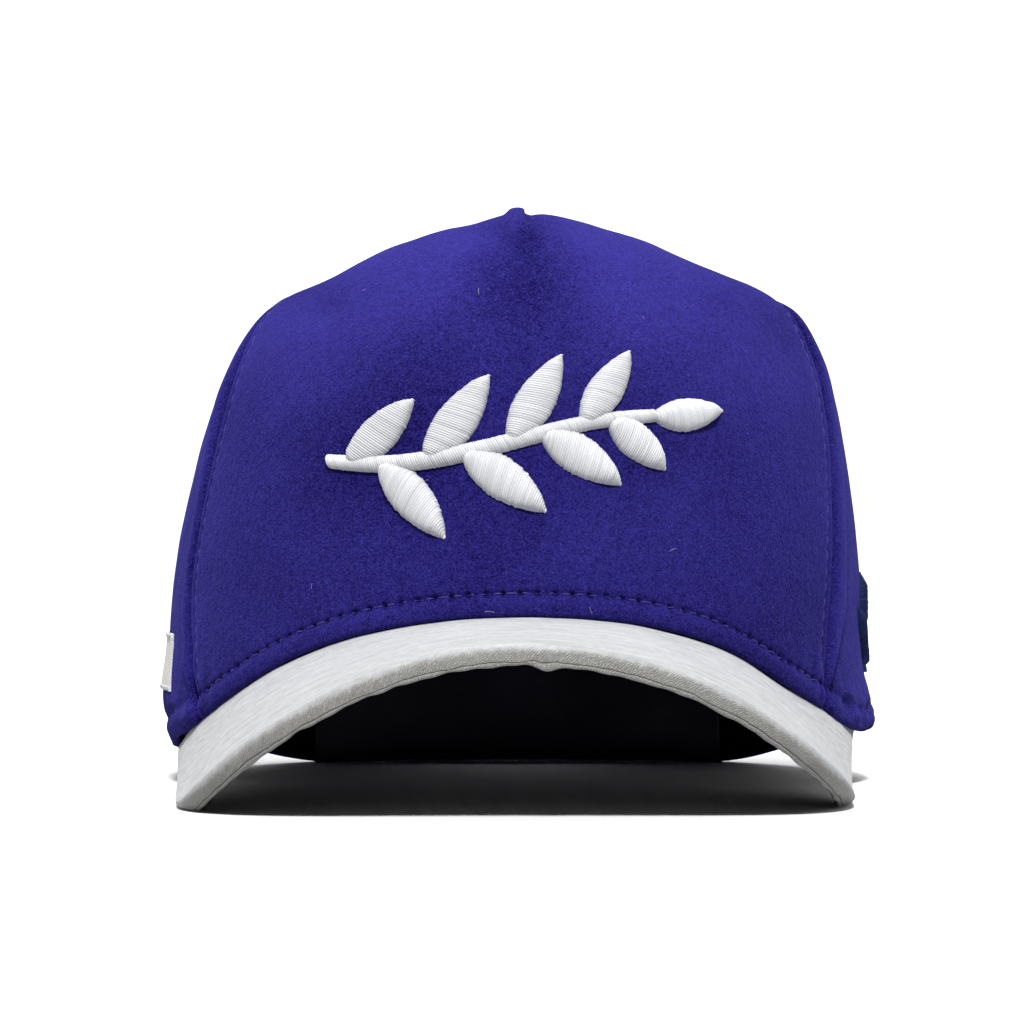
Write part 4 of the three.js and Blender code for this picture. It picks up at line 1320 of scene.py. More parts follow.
@dataclass
class BackPanel:
    """A back panel: its face, cut out by the arch, with a turned edge round the arch."""

    name: str
    shape: CrownShape
    rear: NaturalCurve
    side: float
    arch_half_width: float = 41.0
    arch_height: float = 44.0
    thickness: float = 2.2
    stitch_from_edge: float = 5.5
    stitch_from_middle: float = 4.0
    roll_width: float = 7.0

    def arch_at(self, x: np.ndarray) -> np.ndarray:
        """Returns the arch's height at a distance from the middle, below 0 beside it."""
        straight = self.arch_height - self.arch_half_width
        inside = np.clip(1.0 - (x / self.arch_half_width) ** 2, 0.0, None)
        return np.where(np.abs(x) < self.arch_half_width, straight + self.arch_half_width * np.sqrt(inside), -50.0)

    def foot(self, turn: np.ndarray) -> np.ndarray:
        """Returns the rise at which the panel's edge stands: the rim, or the arch above it."""
        rise = np.zeros_like(turn)
        for _ in range(12):
            point = self.shape.crown(turn, rise)
            target = np.maximum(self.arch_at(point[..., 0]), self.shape.rim_height(turn))
            above = self.shape.crown(turn, rise + 0.01)
            slope = (above[..., 2] - point[..., 2]) / 0.01
            rise = np.clip(rise + np.clip((target - point[..., 2]) / slope, -0.1, 0.1), 0.0, 0.6)
        return rise

    def build(self, thread: ClothMesh) -> ClothMesh:
        """Builds the panel and adds its topstitching.

        Args:
            thread: takes the stitches.

        Returns:
            The panel's mesh.
        """
        share = np.concatenate([np.linspace(0, 0.08, 14), np.linspace(0.09, 0.94, 110), np.linspace(0.945, 1.0, 14)])
        rows = np.linspace(0.0, 1.0, 150) ** 1.15
        foot = np.zeros(len(share))
        for _ in range(4):
            foot = self.foot(self.edge_turns(share, foot))
        rise = foot[None] + (self.shape.button_hole - foot[None]) * rows[:, None]
        turn = np.stack([self.edge_turns(share, r) for r in rise])
        points = self.shape.crown(turn, rise)
        normal = surface_normals(self.shape.crown, turn, rise)
        outer = self.dress(points, normal)
        radius = self.thickness / 2
        upward = unit(points[4] - points[0])
        roll = [
            points[0] + upward * radius * (1 - math.cos(a)) - normal[0] * radius * (1 - math.sin(a))
            for a in np.linspace(-90.0, 90.0, 9) * DEG
        ]
        inner = points[::5] - normal[::5] * self.thickness
        grid = np.concatenate([inner[:0:-1], roll, outer[2:]])
        if self.side < 0:
            grid = grid[:, ::-1]
        row = cells_at(run_length(points, 0).T, self.stitch_from_edge)
        column = np.arange(len(row), dtype=float)
        line, out = (look_up(table, row, column)[3:-3] for table in (outer, normal))
        Topstitch(seed=61).sew(thread, line, out)
        across = run_length(points, 1)
        column = len(share) - 1 - cells_at((across[:, -1:] - across)[:, ::-1], self.stitch_from_middle)
        row = np.arange(len(column), dtype=float)
        line, out = (look_up(table, row, column)[8:-UNSEWN_TOP] for table in (outer, normal))
        Topstitch(SEAM_PITCH, seed=67).sew(thread, line, out, SEAM_LIFT)
        return ClothMesh().add_grid(grid, brushed=np.clip(0.4 + 0.1 * ripples(grid, 70.0, 77), 0.0, 1.0))

    def edge_turns(self, share: np.ndarray, rise: np.ndarray) -> np.ndarray:
        """Returns turns from the side seam (0) to the middle of the back (1)."""
        start = self.rear(rise) * DEG
        return self.side * (start + (math.pi - start) * share)

    def dress(self, points: np.ndarray, normal: np.ndarray) -> np.ndarray:
        """Returns the outer face with its seams, turned edge and unevenness."""
        across = run_length(points, 1)
        from_middle = across[:, -1:] - across
        walked = run_length(points, 0)
        roll = np.sin(math.pi * np.clip(across / self.roll_width, 0, 1)) ** 0.8
        relief = 0.7 * roll - 1.5 * np.exp(-across / 0.55)
        relief += 0.2 * bell(from_middle, 2.0, 1.3) - 0.24 * bell(from_middle, self.stitch_from_middle, 0.6)
        relief -= 1.3 * np.exp(-from_middle / 0.55)
        relief += 0.34 * bell(walked, 2.9, 1.7) - 0.3 * bell(walked, self.stitch_from_edge, 0.7)
        relief += 0.35 * ripples(points, 50.0, 71) + 0.07 * ripples(points, 11.0, 72)
        relief *= smooth_step(walked, 0.0, 2.0)
        return points + normal * relief[..., None]


# The peak


@dataclass
class Peak:
    """The curved peak: a top cover that rolls over its edge, and a cover under it with a puckered seam."""

    shape: CrownShape
    wardrobe: Wardrobe
    joint_angle: float = 77.0
    thickness: float = 4.9
    root_drop: float = 0.5
    root_setback: float = 0.5
    end_inset: float = 1.6
    end_thinning: float = 0.4
    roll_radius: float = 2.1
    floor_spread: float = 0.15
    first_row: float = 5.0
    columns: int = 620

    def __post_init__(self) -> None:
        """Draws the outer edge from the left end over the front to the right end."""
        along = np.array([0, 0.17, 0.33, 0.46, 0.57, 0.66, 0.78, 0.9, 1.0])
        left_x = np.array([0, 22, 43, 59, 70, 75.8, 78.2, 80.4, 83.6])
        right_x = np.array([0, 22, 43, 59, 70, 75.2, 77.2, 79.2, 82.4])
        y = np.array([-168, -166, -159.5, -149, -135, -120, -97, -62, -21.5])
        left_z = np.array([38.7, 35.4, 26.8, 16.8, 7.4, 1.7, 1.9, 4.6, 8.4])
        right_z = np.array([38.7, 36.5, 29.2, 19.5, 10.4, 4.5, 1.0, 5.6, 12.6])
        tables = (both_sides(-left_x, right_x), both_sides(y, y), both_sides(left_z, right_z))
        self.edge = [NaturalCurve(both_sides(-along, along), table) for table in tables]
        self.share = np.linspace(-1.0, 1.0, self.columns)
        ends = [self.top(self.share, np.full(self.columns, out)) for out in (0.0, 1.0)]
        self.reach = np.linalg.norm(ends[1] - ends[0], axis=-1)
        self.length = run_length(ends[1][None], 1)[0]
        self.middle = float(np.interp(0.0, self.share, self.length))

    def top(self, along: np.ndarray, out: np.ndarray) -> np.ndarray:
        """Returns points of the top face, from the crown (out 0) to the edge (out 1)."""
        turn = along * self.joint_angle * DEG
        inset = self.shape.panel_thickness - self.root_setback + self.end_inset * along**8
        level = np.interp(turn, self.shape.rim_turns, self.shape.rim_levels)
        root = self.shape.face(turn, level) - self.shape.normal(turn, level) * inset[..., None]
        root[..., 2] = self.shape.rim_height(turn) - self.root_drop
        edge = np.stack([curve(along) for curve in self.edge], -1)
        return root + (edge - root) * out[..., None]

    def layer(self, inward: np.ndarray, depth: np.ndarray, extra: np.ndarray) -> np.ndarray:
        """Lays a grid whose rows follow the edge.

        Args:
            inward: for each row, millimetres inward from the edge, or SHARE and a share of the way to the crown.
            depth: for each row, millimetres under the top face.
            extra: further depth, rows by columns.

        Returns:
            Points, rows by columns.
        """
        along = self.share[None] * np.ones((len(inward), 1))
        reach = self.reach[None]
        share = np.clip(inward[:, None] - SHARE, 0.0, 1.0)
        away = np.where(inward[:, None] >= SHARE, self.first_row + share * (reach - self.first_row), inward[:, None])
        away = np.minimum(away, reach * (0.25 + 0.75 * np.clip(share * 2, 0, 1)))
        out = 1.0 - away / reach
        thinned = (depth[:, None] + extra) * (1.0 - self.end_thinning * along**6)
        placed = self.top(along, out) + surface_normals(self.top, along, out) * thinned[..., None]
        lift = FLOOR_LIFT + self.floor_spread * (self.thickness - depth[:, None])
        placed[..., 2] = np.maximum(lift, placed[..., 2])
        return placed

    def groove(self) -> np.ndarray:
        """Returns how far the seam line round the edge wanders downward, by column."""
        line = self.length[:, None] * np.array([[1.0, 0.0]])
        wrinkle = 0.42 * bell(self.length, self.middle + 6.0, 1.6) - 0.32 * bell(self.length, self.middle + 3.2, 1.3)
        return 0.13 * ripples(line, 11.0, 95, 8) + 0.08 * ripples(line, 4.0, 96, 8) + wrinkle

    def edge_grey_and_shade(self) -> np.ndarray:
        """Returns how much of the greyer edge colour, with its painted shade, the edge takes along the peak: less at
        the two tips, which paints light onto their more shaded ends.
        """
        return (1.0 - 0.38 * bell(np.abs(self.share), 0.68, 0.13))[None]

    def settle_cover(self, name: str, node: str, grid: np.ndarray, **values: np.ndarray) -> None:
        """Makes one of the two covers.

        Args:
            name: the piece's name.
            node: the solid that it replaces.
            grid: its points, rows by columns.
            values: per-point numbers by attribute name.
        """
        across = run_length(grid, 0)
        values.update(cloth_along=np.broadcast_to(self.length, across.shape), cloth_across=across)
        flipped = {key: np.broadcast_to(value, across.shape)[::-1] for key, value in values.items()}
        settle(ClothMesh().add_grid(grid[::-1], **flipped), name, self.wardrobe.peak_cloth, "peak_felt", node)

    def build(self) -> None:
        """Builds both covers."""
        self.build_top()
        self.build_under()

    def build_top(self) -> None:
        """Builds the top cover with its rolled edge."""
        r = self.roll_radius
        angle = np.linspace(0.0, 90.0, 9) * DEG
        face = np.concatenate([SHARE + np.linspace(1.0, 0.0, 70), [4.6, 4.0, 3.4, 2.9, 2.4]])
        hidden = SHARE + np.linspace(0.0, 1.0, 14)
        inward = np.concatenate([face, r * (1 - np.sin(angle)), [0.0, 0.0, 0.0, 0.02, 0.06, 0.15, 0.5, 2.6], hidden])
        turned_under = [2.4, 2.8, 3.2, 3.56, 3.7, 3.77, 3.8, 3.8]
        hidden_depth = np.full(len(hidden), turned_under[-1])
        depth = np.concatenate([np.zeros(len(face)), r * (1 - np.cos(angle)), turned_under, hidden_depth])
        grid = self.layer(inward, depth, self.groove()[None] * smooth_step(depth, 2.4, 3.6)[:, None])
        on_top = np.where(inward >= SHARE, 9.0, inward)[:, None] + 0.35 * ripples(grid, 5.0, 85)
        swell = ripples(grid, 30.0, 83) * 0.16 + ripples(grid, 8.0, 84) * 0.04
        grid[..., 2] = np.maximum(FLOOR_LIFT, grid[..., 2] + swell * (depth == 0.0)[:, None])
        uneven = depth[:, None] + 0.25 * ripples(grid, 2.2, 86) + 0.2 * ripples(grid, 9.0, 87)
        edge = np.maximum(0.25 * smooth_step(-on_top, -3.0, -1.2), smooth_step(uneven, 0.1, 1.9))
        self.settle_cover("peak_top_cloth", "peak_top_cover", grid, edge=edge * self.edge_grey_and_shade())

    def build_under(self) -> None:
        """Builds the cover under the peak, puckered along its seam."""
        near_edge = [6.0, 3.0, 1.5, 0.55, 0.22, 0.1, 0.04, 0.08, 0.25, 0.6, 1.3, 2.6, 4.4]
        near_depth = [3.83, 3.83, 3.84, 3.85, 3.89, 3.97, 4.14, 4.42, 4.68, 4.83, 4.9, 4.9, 4.9]
        share = np.linspace(0.0, 1.0, 60)
        inward = np.concatenate([near_edge, SHARE + share])
        depth = np.concatenate([near_depth, np.full(len(share), self.thickness)])
        line = self.length[:, None] * np.array([[1.0, 0.0]])
        pucker = 0.20 * ripples(line, 14.0, 91, 10) + 0.13 * ripples(line, 6.0, 92, 8)
        pucker += 0.95 * bell(self.length, self.middle + 6.5, 2.8) - 0.45 * bell(self.length, self.middle + 1.5, 2.0)
        near = bell(np.concatenate([near_edge, 6.0 + share * 60.0]), 0.0, 4.5)
        lower = smooth_step(depth, 4.0, 4.7)
        upper = 1.0 - smooth_step(depth, 3.9, 4.4)
        grid = self.layer(inward, depth, pucker[None] * (near * lower)[:, None] + self.groove()[None] * upper[:, None])
        # The underside away from the seam takes the darker underside colour: painted shade under the peak.
        under = smooth_step(np.where(inward >= SHARE, 9.0, inward), 3.5, 6.0) * lower
        self.settle_cover("peak_under_cloth", "peak_under_cover", grid, edge=self.edge_grey_and_shade(), under=under[:, None])


# Inside and at the back


# A stud's outline, as shares of its radius and its height.
STUD_PROFILE = ((1.0, -0.2), (1.0, 0.1), (0.97, 0.6), (0.9, 0.9), (0.75, 1.05), (0.4, 1.1), (0.01, 1.1))


@dataclass
class InnerBand:
    """The sweatband inside the rim and the closing strap across the arch."""

    shape: CrownShape
    wardrobe: Wardrobe
    band_height: float = 31.0
    band_gap: float = 0.9
    band_tuck: float = 4.2
    band_thickness: float = 1.5
    band_end: float = 150.0
    strap_height: float = 26.5
    strap_thickness: float = 1.5
    strap_end: float = 139.0
    lap_end: float = 161.0
    clearance: float = 0.35
    stud_count: int = 7
    stud_pitch: float = 8.5
    stud_radius: float = 2.1
    stud_height: float = 1.1

    def build(self) -> None:
        """Builds the band and the strap."""
        self.build_band()
        self.build_strap()

    def build_band(self) -> None:
        """Builds the band as one closed loop of cloth round its section."""
        turn = np.linspace(-self.band_end, self.band_end, 520) * DEG
        low = self.shape.rim_height(turn) + 0.7 - self.band_tuck * bell(turn / DEG, 0.0, 45.0)
        share = np.linspace(0.0, 1.0, 18)
        bend = [(0.012, 0.25), (0.02, 0.5), (0.012, 0.75)]
        rows = [(s, 0.0) for s in share[::-1]] + [(-past, across) for past, across in bend]
        rows += [(s, 1.0) for s in share] + [(1.0 + past, across) for past, across in bend[::-1]]
        grid = []
        for up, across in rows:
            level = self.shape.level_at(turn, low + self.band_height * up)
            depth = self.shape.panel_thickness + self.band_gap + self.band_thickness * across
            grid.append(self.shape.face(turn, level) - self.shape.normal(turn, level) * depth)
        points = np.array(grid + grid[:1])
        points -= level_unit(points) * (0.25 + 0.25 * ripples(points, 26.0, 101))[..., None]
        band = ClothMesh().add_grid(points, cloth_along=run_length(points, 1), cloth_across=run_length(points, 0))
        settle(band, "sweatband_cloth", self.wardrobe.band, "band_cloth", "sweatband")

    def ring(self, turn: np.ndarray, depth: float) -> np.ndarray:
        """Returns a rounded strap section swept over turns.

        Args:
            turn: turns in radians.
            depth: depth of its outer face under the crown's face.

        Returns:
            Stations by points of the section by 3.
        """
        height, thick = self.strap_height, self.strap_thickness
        r = thick * 0.42
        cut = r * 0.3
        across = [height * share for share in (0.25, 0.5, 0.75)]
        outer = [(r, 0)] + [(z, 0) for z in across] + [(height - r, 0), (height - cut, cut), (height, r)]
        inner = [(height, thick - r), (height - cut, thick - cut), (height - r, thick)]
        inner += [(z, thick) for z in across[::-1]] + [(r, thick), (cut, thick - cut), (0, thick - r)]
        rows = []
        for z, inward in outer + inner + [(0, r), (cut, cut)]:
            level = self.shape.level_at(turn, np.full(turn.shape, z))
            point = self.shape.face(turn, level) - level_unit(self.shape.normal(turn, level)) * (depth + inward)
            point[..., 2] = max(FLOOR_LIFT, z)
            rows.append(point)
        return np.stack(rows, 1)

    def build_strap(self) -> None:
        """Builds the strap, its second layer and its studs."""
        depth = self.shape.panel_thickness + self.band_gap + self.band_thickness + self.clearance
        mesh = ClothMesh()
        for end, at, count in ((self.strap_end, depth, 120), (self.lap_end, depth - self.strap_thickness + 0.02, 70)):
            ring = self.ring(np.linspace(end, 360.0 - end, count) * DEG, at)
            middle = ring.mean(1, keepdims=True)
            caps = middle + (ring - middle) * 0.02
            mesh.add_grid(np.concatenate([caps[:1], ring, caps[-1:]])[:, ::-1], closed=True)
        half = self.strap_height / 2
        level = float(self.shape.level_at(math.pi, half))
        reach = float(self.shape.face(math.pi, level)[1])
        angle = (np.arange(24) * (FULL_TURN / 24))[:, None]
        for i in range(self.stud_count):
            turn = math.pi - (i - (self.stud_count - 1) / 2) * self.stud_pitch / reach
            normal = level_unit(self.shape.normal(turn, level))
            foot = self.shape.face(turn, level) - normal * (depth - self.strap_thickness + 0.1)
            foot[2] = half
            ring = (np.cos(angle) * np.cross(normal, UP) + np.sin(angle) * UP) * self.stud_radius
            rings = [foot + ring * radius + normal * height * self.stud_height for radius, height in STUD_PROFILE]
            mesh.add_grid(np.array(rings)[:, ::-1], closed=True)
        settle(mesh, "closing_strap_moulded", self.wardrobe.strap, "strap_plastic", "closing_strap")


# Satin-stitched trim


@dataclass(frozen=True)
class LeafPlan:
    """One leaf of a sprig."""

    at: float
    side: float
    length: float
    width: float


@dataclass
class SatinTrim:
    """Raised satin columns whose threads lie side by side."""

    shape: CrownShape
    start: float
    centre_height: float
    rise: float
    pitch: float = 0.56
    steps: int = 5
    across: int = 14
    slant: float = 0.32
    narrow_width: float = 4.5
    foot: float = -0.25
    thread_relief: float = 0.40
    seed: int = 7

    def column(
        self, mesh: ClothMesh, centre: Callable[[np.ndarray], np.ndarray], width: Callable[[np.ndarray], np.ndarray],
        length: float, rise: float, seed: int,
    ) -> None:
        """Adds one satin column.

        Args:
            mesh: takes it.
            centre: gives the middle line in millimetres by the length along it.
            width: gives the width by the length along it.
            length: how long it is.
            rise: how high it stands.
            seed: picks the unevenness of its threads.
        """
        count = max(4, int(round(length / self.pitch)))
        s = np.linspace(0.0, length, count * self.steps + 1)
        strand = np.clip((s / length * count).astype(int), 0, count - 1)
        draw = np.random.default_rng(seed)
        wide = draw.normal(0.0, 0.016, count + 1)[strand][:, None]
        high = draw.normal(0.0, 0.045, count + 1)[strand][:, None]
        tone = np.clip(draw.normal(0.72, 0.2, count + 1), 0.0, 1.0)[strand][:, None]
        share = -np.cos(np.linspace(0.0, math.pi, self.across + 1))[None]
        shifted = np.clip(s[:, None] + share * (width(s)[:, None] / 2) * self.slant, 0.0, length)
        step = 0.05
        way = unit(centre(np.clip(shifted + step, 0, length)) - centre(np.clip(shifted - step, 0, length)))
        reach = width(shifted) / 2 * (1.0 + wide)
        place = centre(shifted) + np.stack([way[..., 1], -way[..., 0]], -1) * (share * reach)[..., None]
        along_thread = (s / length * count) % 1.0
        ridge = (np.sqrt(np.clip(1.0 - (2 * along_thread - 1.0) ** 2 * 0.97, 0.0, 1.0)) - 0.55)[:, None]
        dome = np.sqrt(np.clip(1.0 - share**2, 0.0, 1.0))
        scale = np.minimum(1.0, width(shifted) / self.narrow_width)
        lift = self.foot + (rise + high) * dome**0.85 * scale
        lift = lift + ridge * self.thread_relief * np.minimum(1.0, dome * 1.6 + 0.25)
        grid = self.shape.place(self.start, place[..., 0], self.centre_height + place[..., 1], lift)
        # The tone is lowered where each strand dips between its neighbours: painted shade.
        mesh.add_grid(grid, thread_tone=tone * (0.55 + 0.45 * (ridge + 0.55)))

    def leaf(self, mesh: ClothMesh, root: tuple[float, float], direction: float, plan: LeafPlan, seed: int) -> None:
        """Adds one leaf.

        Args:
            mesh: takes it.
            root: where it starts, across and up.
            direction: its way in radians.
            plan: how long and how wide it is.
            seed: picks the unevenness of its threads.
        """
        length = plan.length
        way = np.array([math.cos(direction), math.sin(direction)])
        side = np.array([-way[1], way[0]])
        bow = 0.021 * length * (1 if seed % 2 else -1)

        def centre(s: np.ndarray) -> np.ndarray:
            """Returns the leaf's middle line, a little bowed."""
            return np.array(root) + way * s[..., None] + side * (bow * np.sin(math.pi * s / length))[..., None]

        def wide(s: np.ndarray) -> np.ndarray:
            """Returns the leaf's width."""
            share = np.clip(s / length, 0.0, 1.0)
            return np.maximum(0.9, plan.width * np.clip(np.sin(math.pi * share**0.85), 0.0, 1.0) ** 0.75)

        self.column(mesh, centre, wide, length, self.rise, seed)


@dataclass
class FrontSprig(SatinTrim):
    """The raised sprig in the middle of the front panel."""

    leaf_spread: float = 46.0
    leaves: tuple[LeafPlan, ...] = (
        LeafPlan(0.07, 1, 22, 9.0), LeafPlan(0.18, -1, 24, 9.4), LeafPlan(0.31, 1, 24.5, 9.6),
        LeafPlan(0.41, -1, 24, 9.4), LeafPlan(0.53, 1, 23.5, 9.2), LeafPlan(0.62, -1, 22.5, 9.0),
        LeafPlan(0.74, 1, 20.5, 8.6), LeafPlan(0.83, -1, 18.5, 8.0), LeafPlan(0.99, 0, 19.5, 7.6),
    )

    def build(self, material: bpy.types.Material) -> None:
        """Builds the sprig."""
        along = np.linspace(0.0, 1.0, 5)
        stem_across = NaturalCurve(along, [-48, -28, -6, 14, 31])
        stem_up = NaturalCurve(along, [-7, -7.5, -3.5, 1.5, 3.5])
        stem_width = NaturalCurve(along, [3.2, 4.0, 4.0, 3.6, 3.0])
        fine = np.linspace(0.0, 1.0, 400)
        line = np.stack([stem_across(fine), stem_up(fine)], -1)
        walked = run_length(line[None], 1)[0]

        def centre(s: np.ndarray) -> np.ndarray:
            """Returns the stem's middle line by length."""
            share = np.interp(s, walked, fine)
            return np.stack([stem_across(share), stem_up(share)], -1)

        def wide(s: np.ndarray) -> np.ndarray:
            """Returns the stem's width by length."""
            return stem_width(np.interp(s, walked, fine))

        mesh = ClothMesh()
        step = 0.01
        for i, plan in enumerate(self.leaves):
            root = (float(stem_across(plan.at)), float(stem_up(plan.at)))
            rise, run = (stem(plan.at + step) - stem(plan.at - step) for stem in (stem_up, stem_across))
            direction = math.atan2(rise, run) + plan.side * self.leaf_spread * DEG
            self.leaf(mesh, root, direction, plan, self.seed + i)
        self.column(mesh, centre, wide, float(walked[-1]), self.rise * 0.9, self.seed + 40)
        settle(mesh, "front_sprig_thread", material, "white_thread", "front_sprig")


@dataclass
class SideEmblem(SatinTrim):
    """The small raised sprig on the right side: an upright stem with leaves on alternate sides."""

    stem_length: float = 12.5
    stem_width: float = 2.6
    leaves: tuple[LeafPlan, ...] = (LeafPlan(2, 50, 14.5, 6.4), LeafPlan(6.5, -46, 14, 6.2), LeafPlan(11, 8, 14, 6.4))

    def build(self, material: bpy.types.Material) -> None:
        """Builds the emblem."""
        mesh = ClothMesh()
        for i, plan in enumerate(self.leaves):
            self.leaf(mesh, (0.0, plan.at), (90.0 - plan.side) * DEG, plan, self.seed + i)
        self.column(
            mesh, lambda s: np.stack([np.zeros_like(s), s], -1), lambda s: np.full(np.shape(s), self.stem_width),
            self.stem_length, self.rise * 0.8, self.seed + 9,
        )
        settle(mesh, "side_emblem_thread", material, "navy_thread", "side_emblem_right")


@dataclass
class SidePatch:
    """The woven patch on the left side, with an overcast border."""

    shape: CrownShape
    wardrobe: Wardrobe
    from_angle: float = 73.2
    to_angle: float = 99.6
    bottom: float = 23.1
    height: float = 13.7
    slant: float = 2.5
    clearance: float = 0.35
    thickness: float = 0.5
    border: float = 1.1
    border_pitch: float = 0.42
    thread_radius: float = 0.23
    crown_radius: float = 87.0

    def spot(self, share: np.ndarray, up: np.ndarray, lift: np.ndarray) -> np.ndarray:
        """Returns points of the patch by its shares across and up, lifted off the face."""
        angle = -self.to_angle + (self.to_angle - self.from_angle) * share
        turn = (angle - self.slant * up) * DEG
        level = self.shape.level_at(turn, self.bottom + self.height * up)
        return self.shape.face(turn, level) + self.shape.normal(turn, level) * lift[..., None]

    def build(self) -> None:
        """Builds the patch and its border."""
        width = (self.to_angle - self.from_angle) * DEG * self.crown_radius
        share, up = np.meshgrid(np.linspace(0, 1, 90), np.linspace(0, 1, 34))
        edge = np.minimum(np.minimum(share, 1 - share) * width, np.minimum(up, 1 - up) * self.height)
        lift = self.clearance - 0.3 + self.thickness * smooth_step(edge, 0.0, 0.5)
        patch = ClothMesh()
        patch.add_grid(self.spot(share, up, lift), cloth_along=share * width, cloth_across=up * self.height)
        settle(patch, "side_patch_cloth", self.wardrobe.patch, "patch_cloth", "side_patch_left")
        thread = ClothMesh()
        draw = np.random.default_rng(19)
        steps = np.linspace(0.0, 1.0, 7)
        lift = 0.15 + self.thickness * 1.1 * np.maximum(np.sin(math.pi * steps), 0.0) ** 0.5
        radius = np.full(len(steps), self.thread_radius)
        for across, rise, out_across, out_rise in self.loop(width):
            x = np.clip((across + out_across * self.border * steps) / width, -0.02, 1.02)
            y = np.clip((rise + out_rise * self.border * steps) / self.height, -0.08, 1.08)
            path = self.spot(x, y, lift)
            thread.add_grid(tube(path, radius), closed=True, thread_tone=draw.uniform(0.5, 1.0))
        settle(thread, "side_patch_border", self.wardrobe.white_thread, "white_thread")

    def loop(self, width: float) -> list[tuple[float, float, float, float]]:
        """Returns where each border thread starts, in millimetres across and up, and which way it goes."""
        result = []
        for across in np.arange(0.0, width, self.border_pitch):
            result += [(across, 0.0, 0.0, 1.0), (across, self.height, 0.0, -1.0)]
        for rise in np.arange(0.0, self.height, self.border_pitch):
            result += [(0.0, rise, 1.0, 0.0), (width, rise, -1.0, 0.0)]
        return result


@dataclass
class LooseFibres:
    """A few stray fibres that cling to the cloth."""

    shape: CrownShape
    wardrobe: Wardrobe
    radius: float = 0.032
    lift: float = 0.35
    spots: tuple[tuple[float, float, float], ...] = (
        (-43, 119.0, 1.3), (-12.5, 118.0, 1.3), (36.5, 58.0, 1.8), (-50.5, 49.5, 1.4),
        (-22, 74.0, 0.8), (27, 112.0, 0.8), (-6.0, 44.0, 2.2), (17, 44.2, 1.6),
    )

    def build(self) -> None:
        """Builds the fibres on the front panel."""
        draw = np.random.default_rng(29)
        mesh = ClothMesh()
        steps = np.linspace(-0.5, 0.5, 8)
        radius = np.full(len(steps), self.radius)
        for across, height, length in self.spots:
            angle = draw.uniform(0, math.pi)
            curl = draw.uniform(-0.5, 0.5) * length
            x = across + math.cos(angle) * length * steps - math.sin(angle) * curl * (steps**2)
            z = height + math.sin(angle) * length * steps + math.cos(angle) * curl * (steps**2)
            path = self.shape.place(0.0, x, z, self.lift + 0.3 * steps)
            mesh.add_grid(tube(path, radius, 5), closed=True, thread_tone=0.0)
        settle(mesh, "loose_fibres", self.wardrobe.white_thread, "white_thread")


# The room


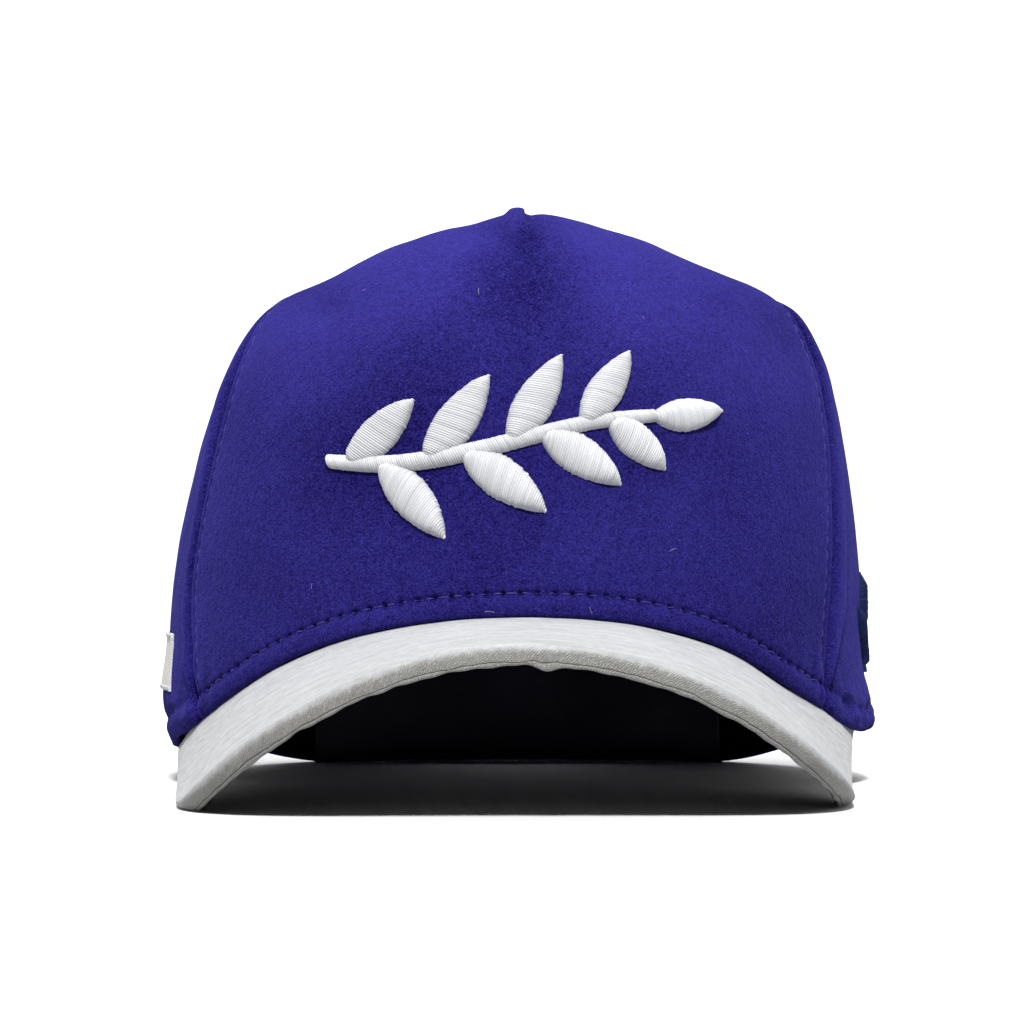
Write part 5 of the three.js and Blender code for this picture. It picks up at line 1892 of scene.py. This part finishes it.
@dataclass
class Studio:
    """The pale floor, the soft lights and the camera."""

    camera_distance: float = 1.083
    camera_height: float = 0.0667
    camera_side: float = -0.00117
    focal_pixels: float = 4473.0
    image_pixels: float = 1024.0
    room_light: float = 0.03
    room_seen: float = 1.1
    floor_bounce: float = 0.45
    floor_seen: float = 0.95
    key_power: float = 4.35
    key_elevation: float = 47.0
    key_softness: float = 8.0
    soft_lights: tuple[tuple[str, tuple[float, float, float], float, float], ...] = (
        ("overhead", (0.0, 0.0, 1.5), 1.4, 24.0),
        ("left", (-1.3, 0.15, 0.55), 1.1, 3.9),
        ("right", (1.3, 0.15, 0.55), 1.1, 3.9),
        ("behind", (0.0, 1.7, 0.9), 1.2, 4.5),
    )

    def build(self) -> None:
        """Builds the room."""
        self.build_floor()
        self.build_lights()
        self.build_camera()

    def build_floor(self) -> None:
        """Builds a plain floor that curves up far behind the cap."""
        angle = np.linspace(0, 90, 16) * DEG
        run = np.concatenate([[-6.0, -3.0, -1.0, 0.0, 1.0, 2.0], 3.0 + 1.5 * np.sin(angle), [4.5]])
        rise = np.concatenate([np.zeros(6), 1.5 * (1 - np.cos(angle)), [5.0]])
        x, y = np.meshgrid([-6.0, 6.0], run)
        grid = np.stack([x, y, np.broadcast_to(rise[:, None], x.shape)], -1) / MM
        grid[..., 1] -= SHIFT_Y
        floor = ClothMesh().add_grid(grid).to_object("floor")
        material, nodes, shader = new_material("floor_pale", 0.9, 0.1)
        colour = nodes.mix(nodes.for_camera(), (self.floor_bounce,) * 3, (self.floor_seen,) * 3)
        nodes.feed(colour, shader.inputs["Base Color"])
        floor.data.materials.append(material)

    def build_lights(self) -> None:
        """Builds the world's even light and the soft lights."""
        world = bpy.data.worlds.new("studio")
        bpy.context.scene.world = world
        world.use_nodes = True
        nodes = Nodes(world.node_tree)
        background = world.node_tree.nodes["Background"]
        nodes.feed((1.0, 1.0, 1.0), background.inputs[0])
        strength = nodes.math("MULTIPLY_ADD", nodes.for_camera(), self.room_seen - self.room_light, self.room_light)
        nodes.feed(strength, background.inputs[1])
        key = bpy.data.lights.new("key", "SUN")
        key.energy = self.key_power
        key.angle = self.key_softness * DEG
        light = put_in_scene(bpy.data.objects.new("key", key))
        light.rotation_euler = (math.pi / 2 - self.key_elevation * DEG, 0.0, 0.0)
        for name, place, size, power in self.soft_lights:
            data = bpy.data.lights.new(name, "AREA")
            data.size = size
            data.energy = power
            light = put_in_scene(bpy.data.objects.new(name, data))
            light.location = place
            way = Vector((0.0, 0.0, 0.06)) - Vector(place)
            light.rotation_euler = way.to_track_quat("-Z", "Y").to_euler()

    def build_camera(self) -> None:
        """Builds the camera, level and straight in front of the cap."""
        data = bpy.data.cameras.new("camera")
        data.sensor_width = 36.0
        data.lens = self.focal_pixels / self.image_pixels * data.sensor_width
        data.clip_start = 0.05
        data.clip_end = 50.0
        camera = put_in_scene(bpy.data.objects.new("camera", data))
        camera.location = (self.camera_side, -self.camera_distance, self.camera_height)
        camera.rotation_euler = (math.pi / 2, 0.0, 0.0)
        bpy.context.scene.camera = camera
        settings = bpy.context.scene.view_settings
        settings.view_transform = "Standard"
        settings.look = "None"


def main() -> None:
    """Builds the cap piece by piece."""
    logging.basicConfig(level=logging.INFO, format="%(name)s: %(message)s")
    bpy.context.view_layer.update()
    wardrobe = Wardrobe()
    shape = CrownShape()
    Studio().build()
    Crown(shape, wardrobe).build()
    Peak(shape, wardrobe).build()
    InnerBand(shape, wardrobe).build()
    FrontSprig(shape, 0.0, 85.5, 2.9, seed=200).build(wardrobe.white_thread)
    SideEmblem(shape, 84.0 * DEG, 27.0, 2.0, seed=300).build(wardrobe.navy_thread)
    SidePatch(shape, wardrobe).build()
    LooseFibres(shape, wardrobe).build()


if __name__ == "__main__":
    main()
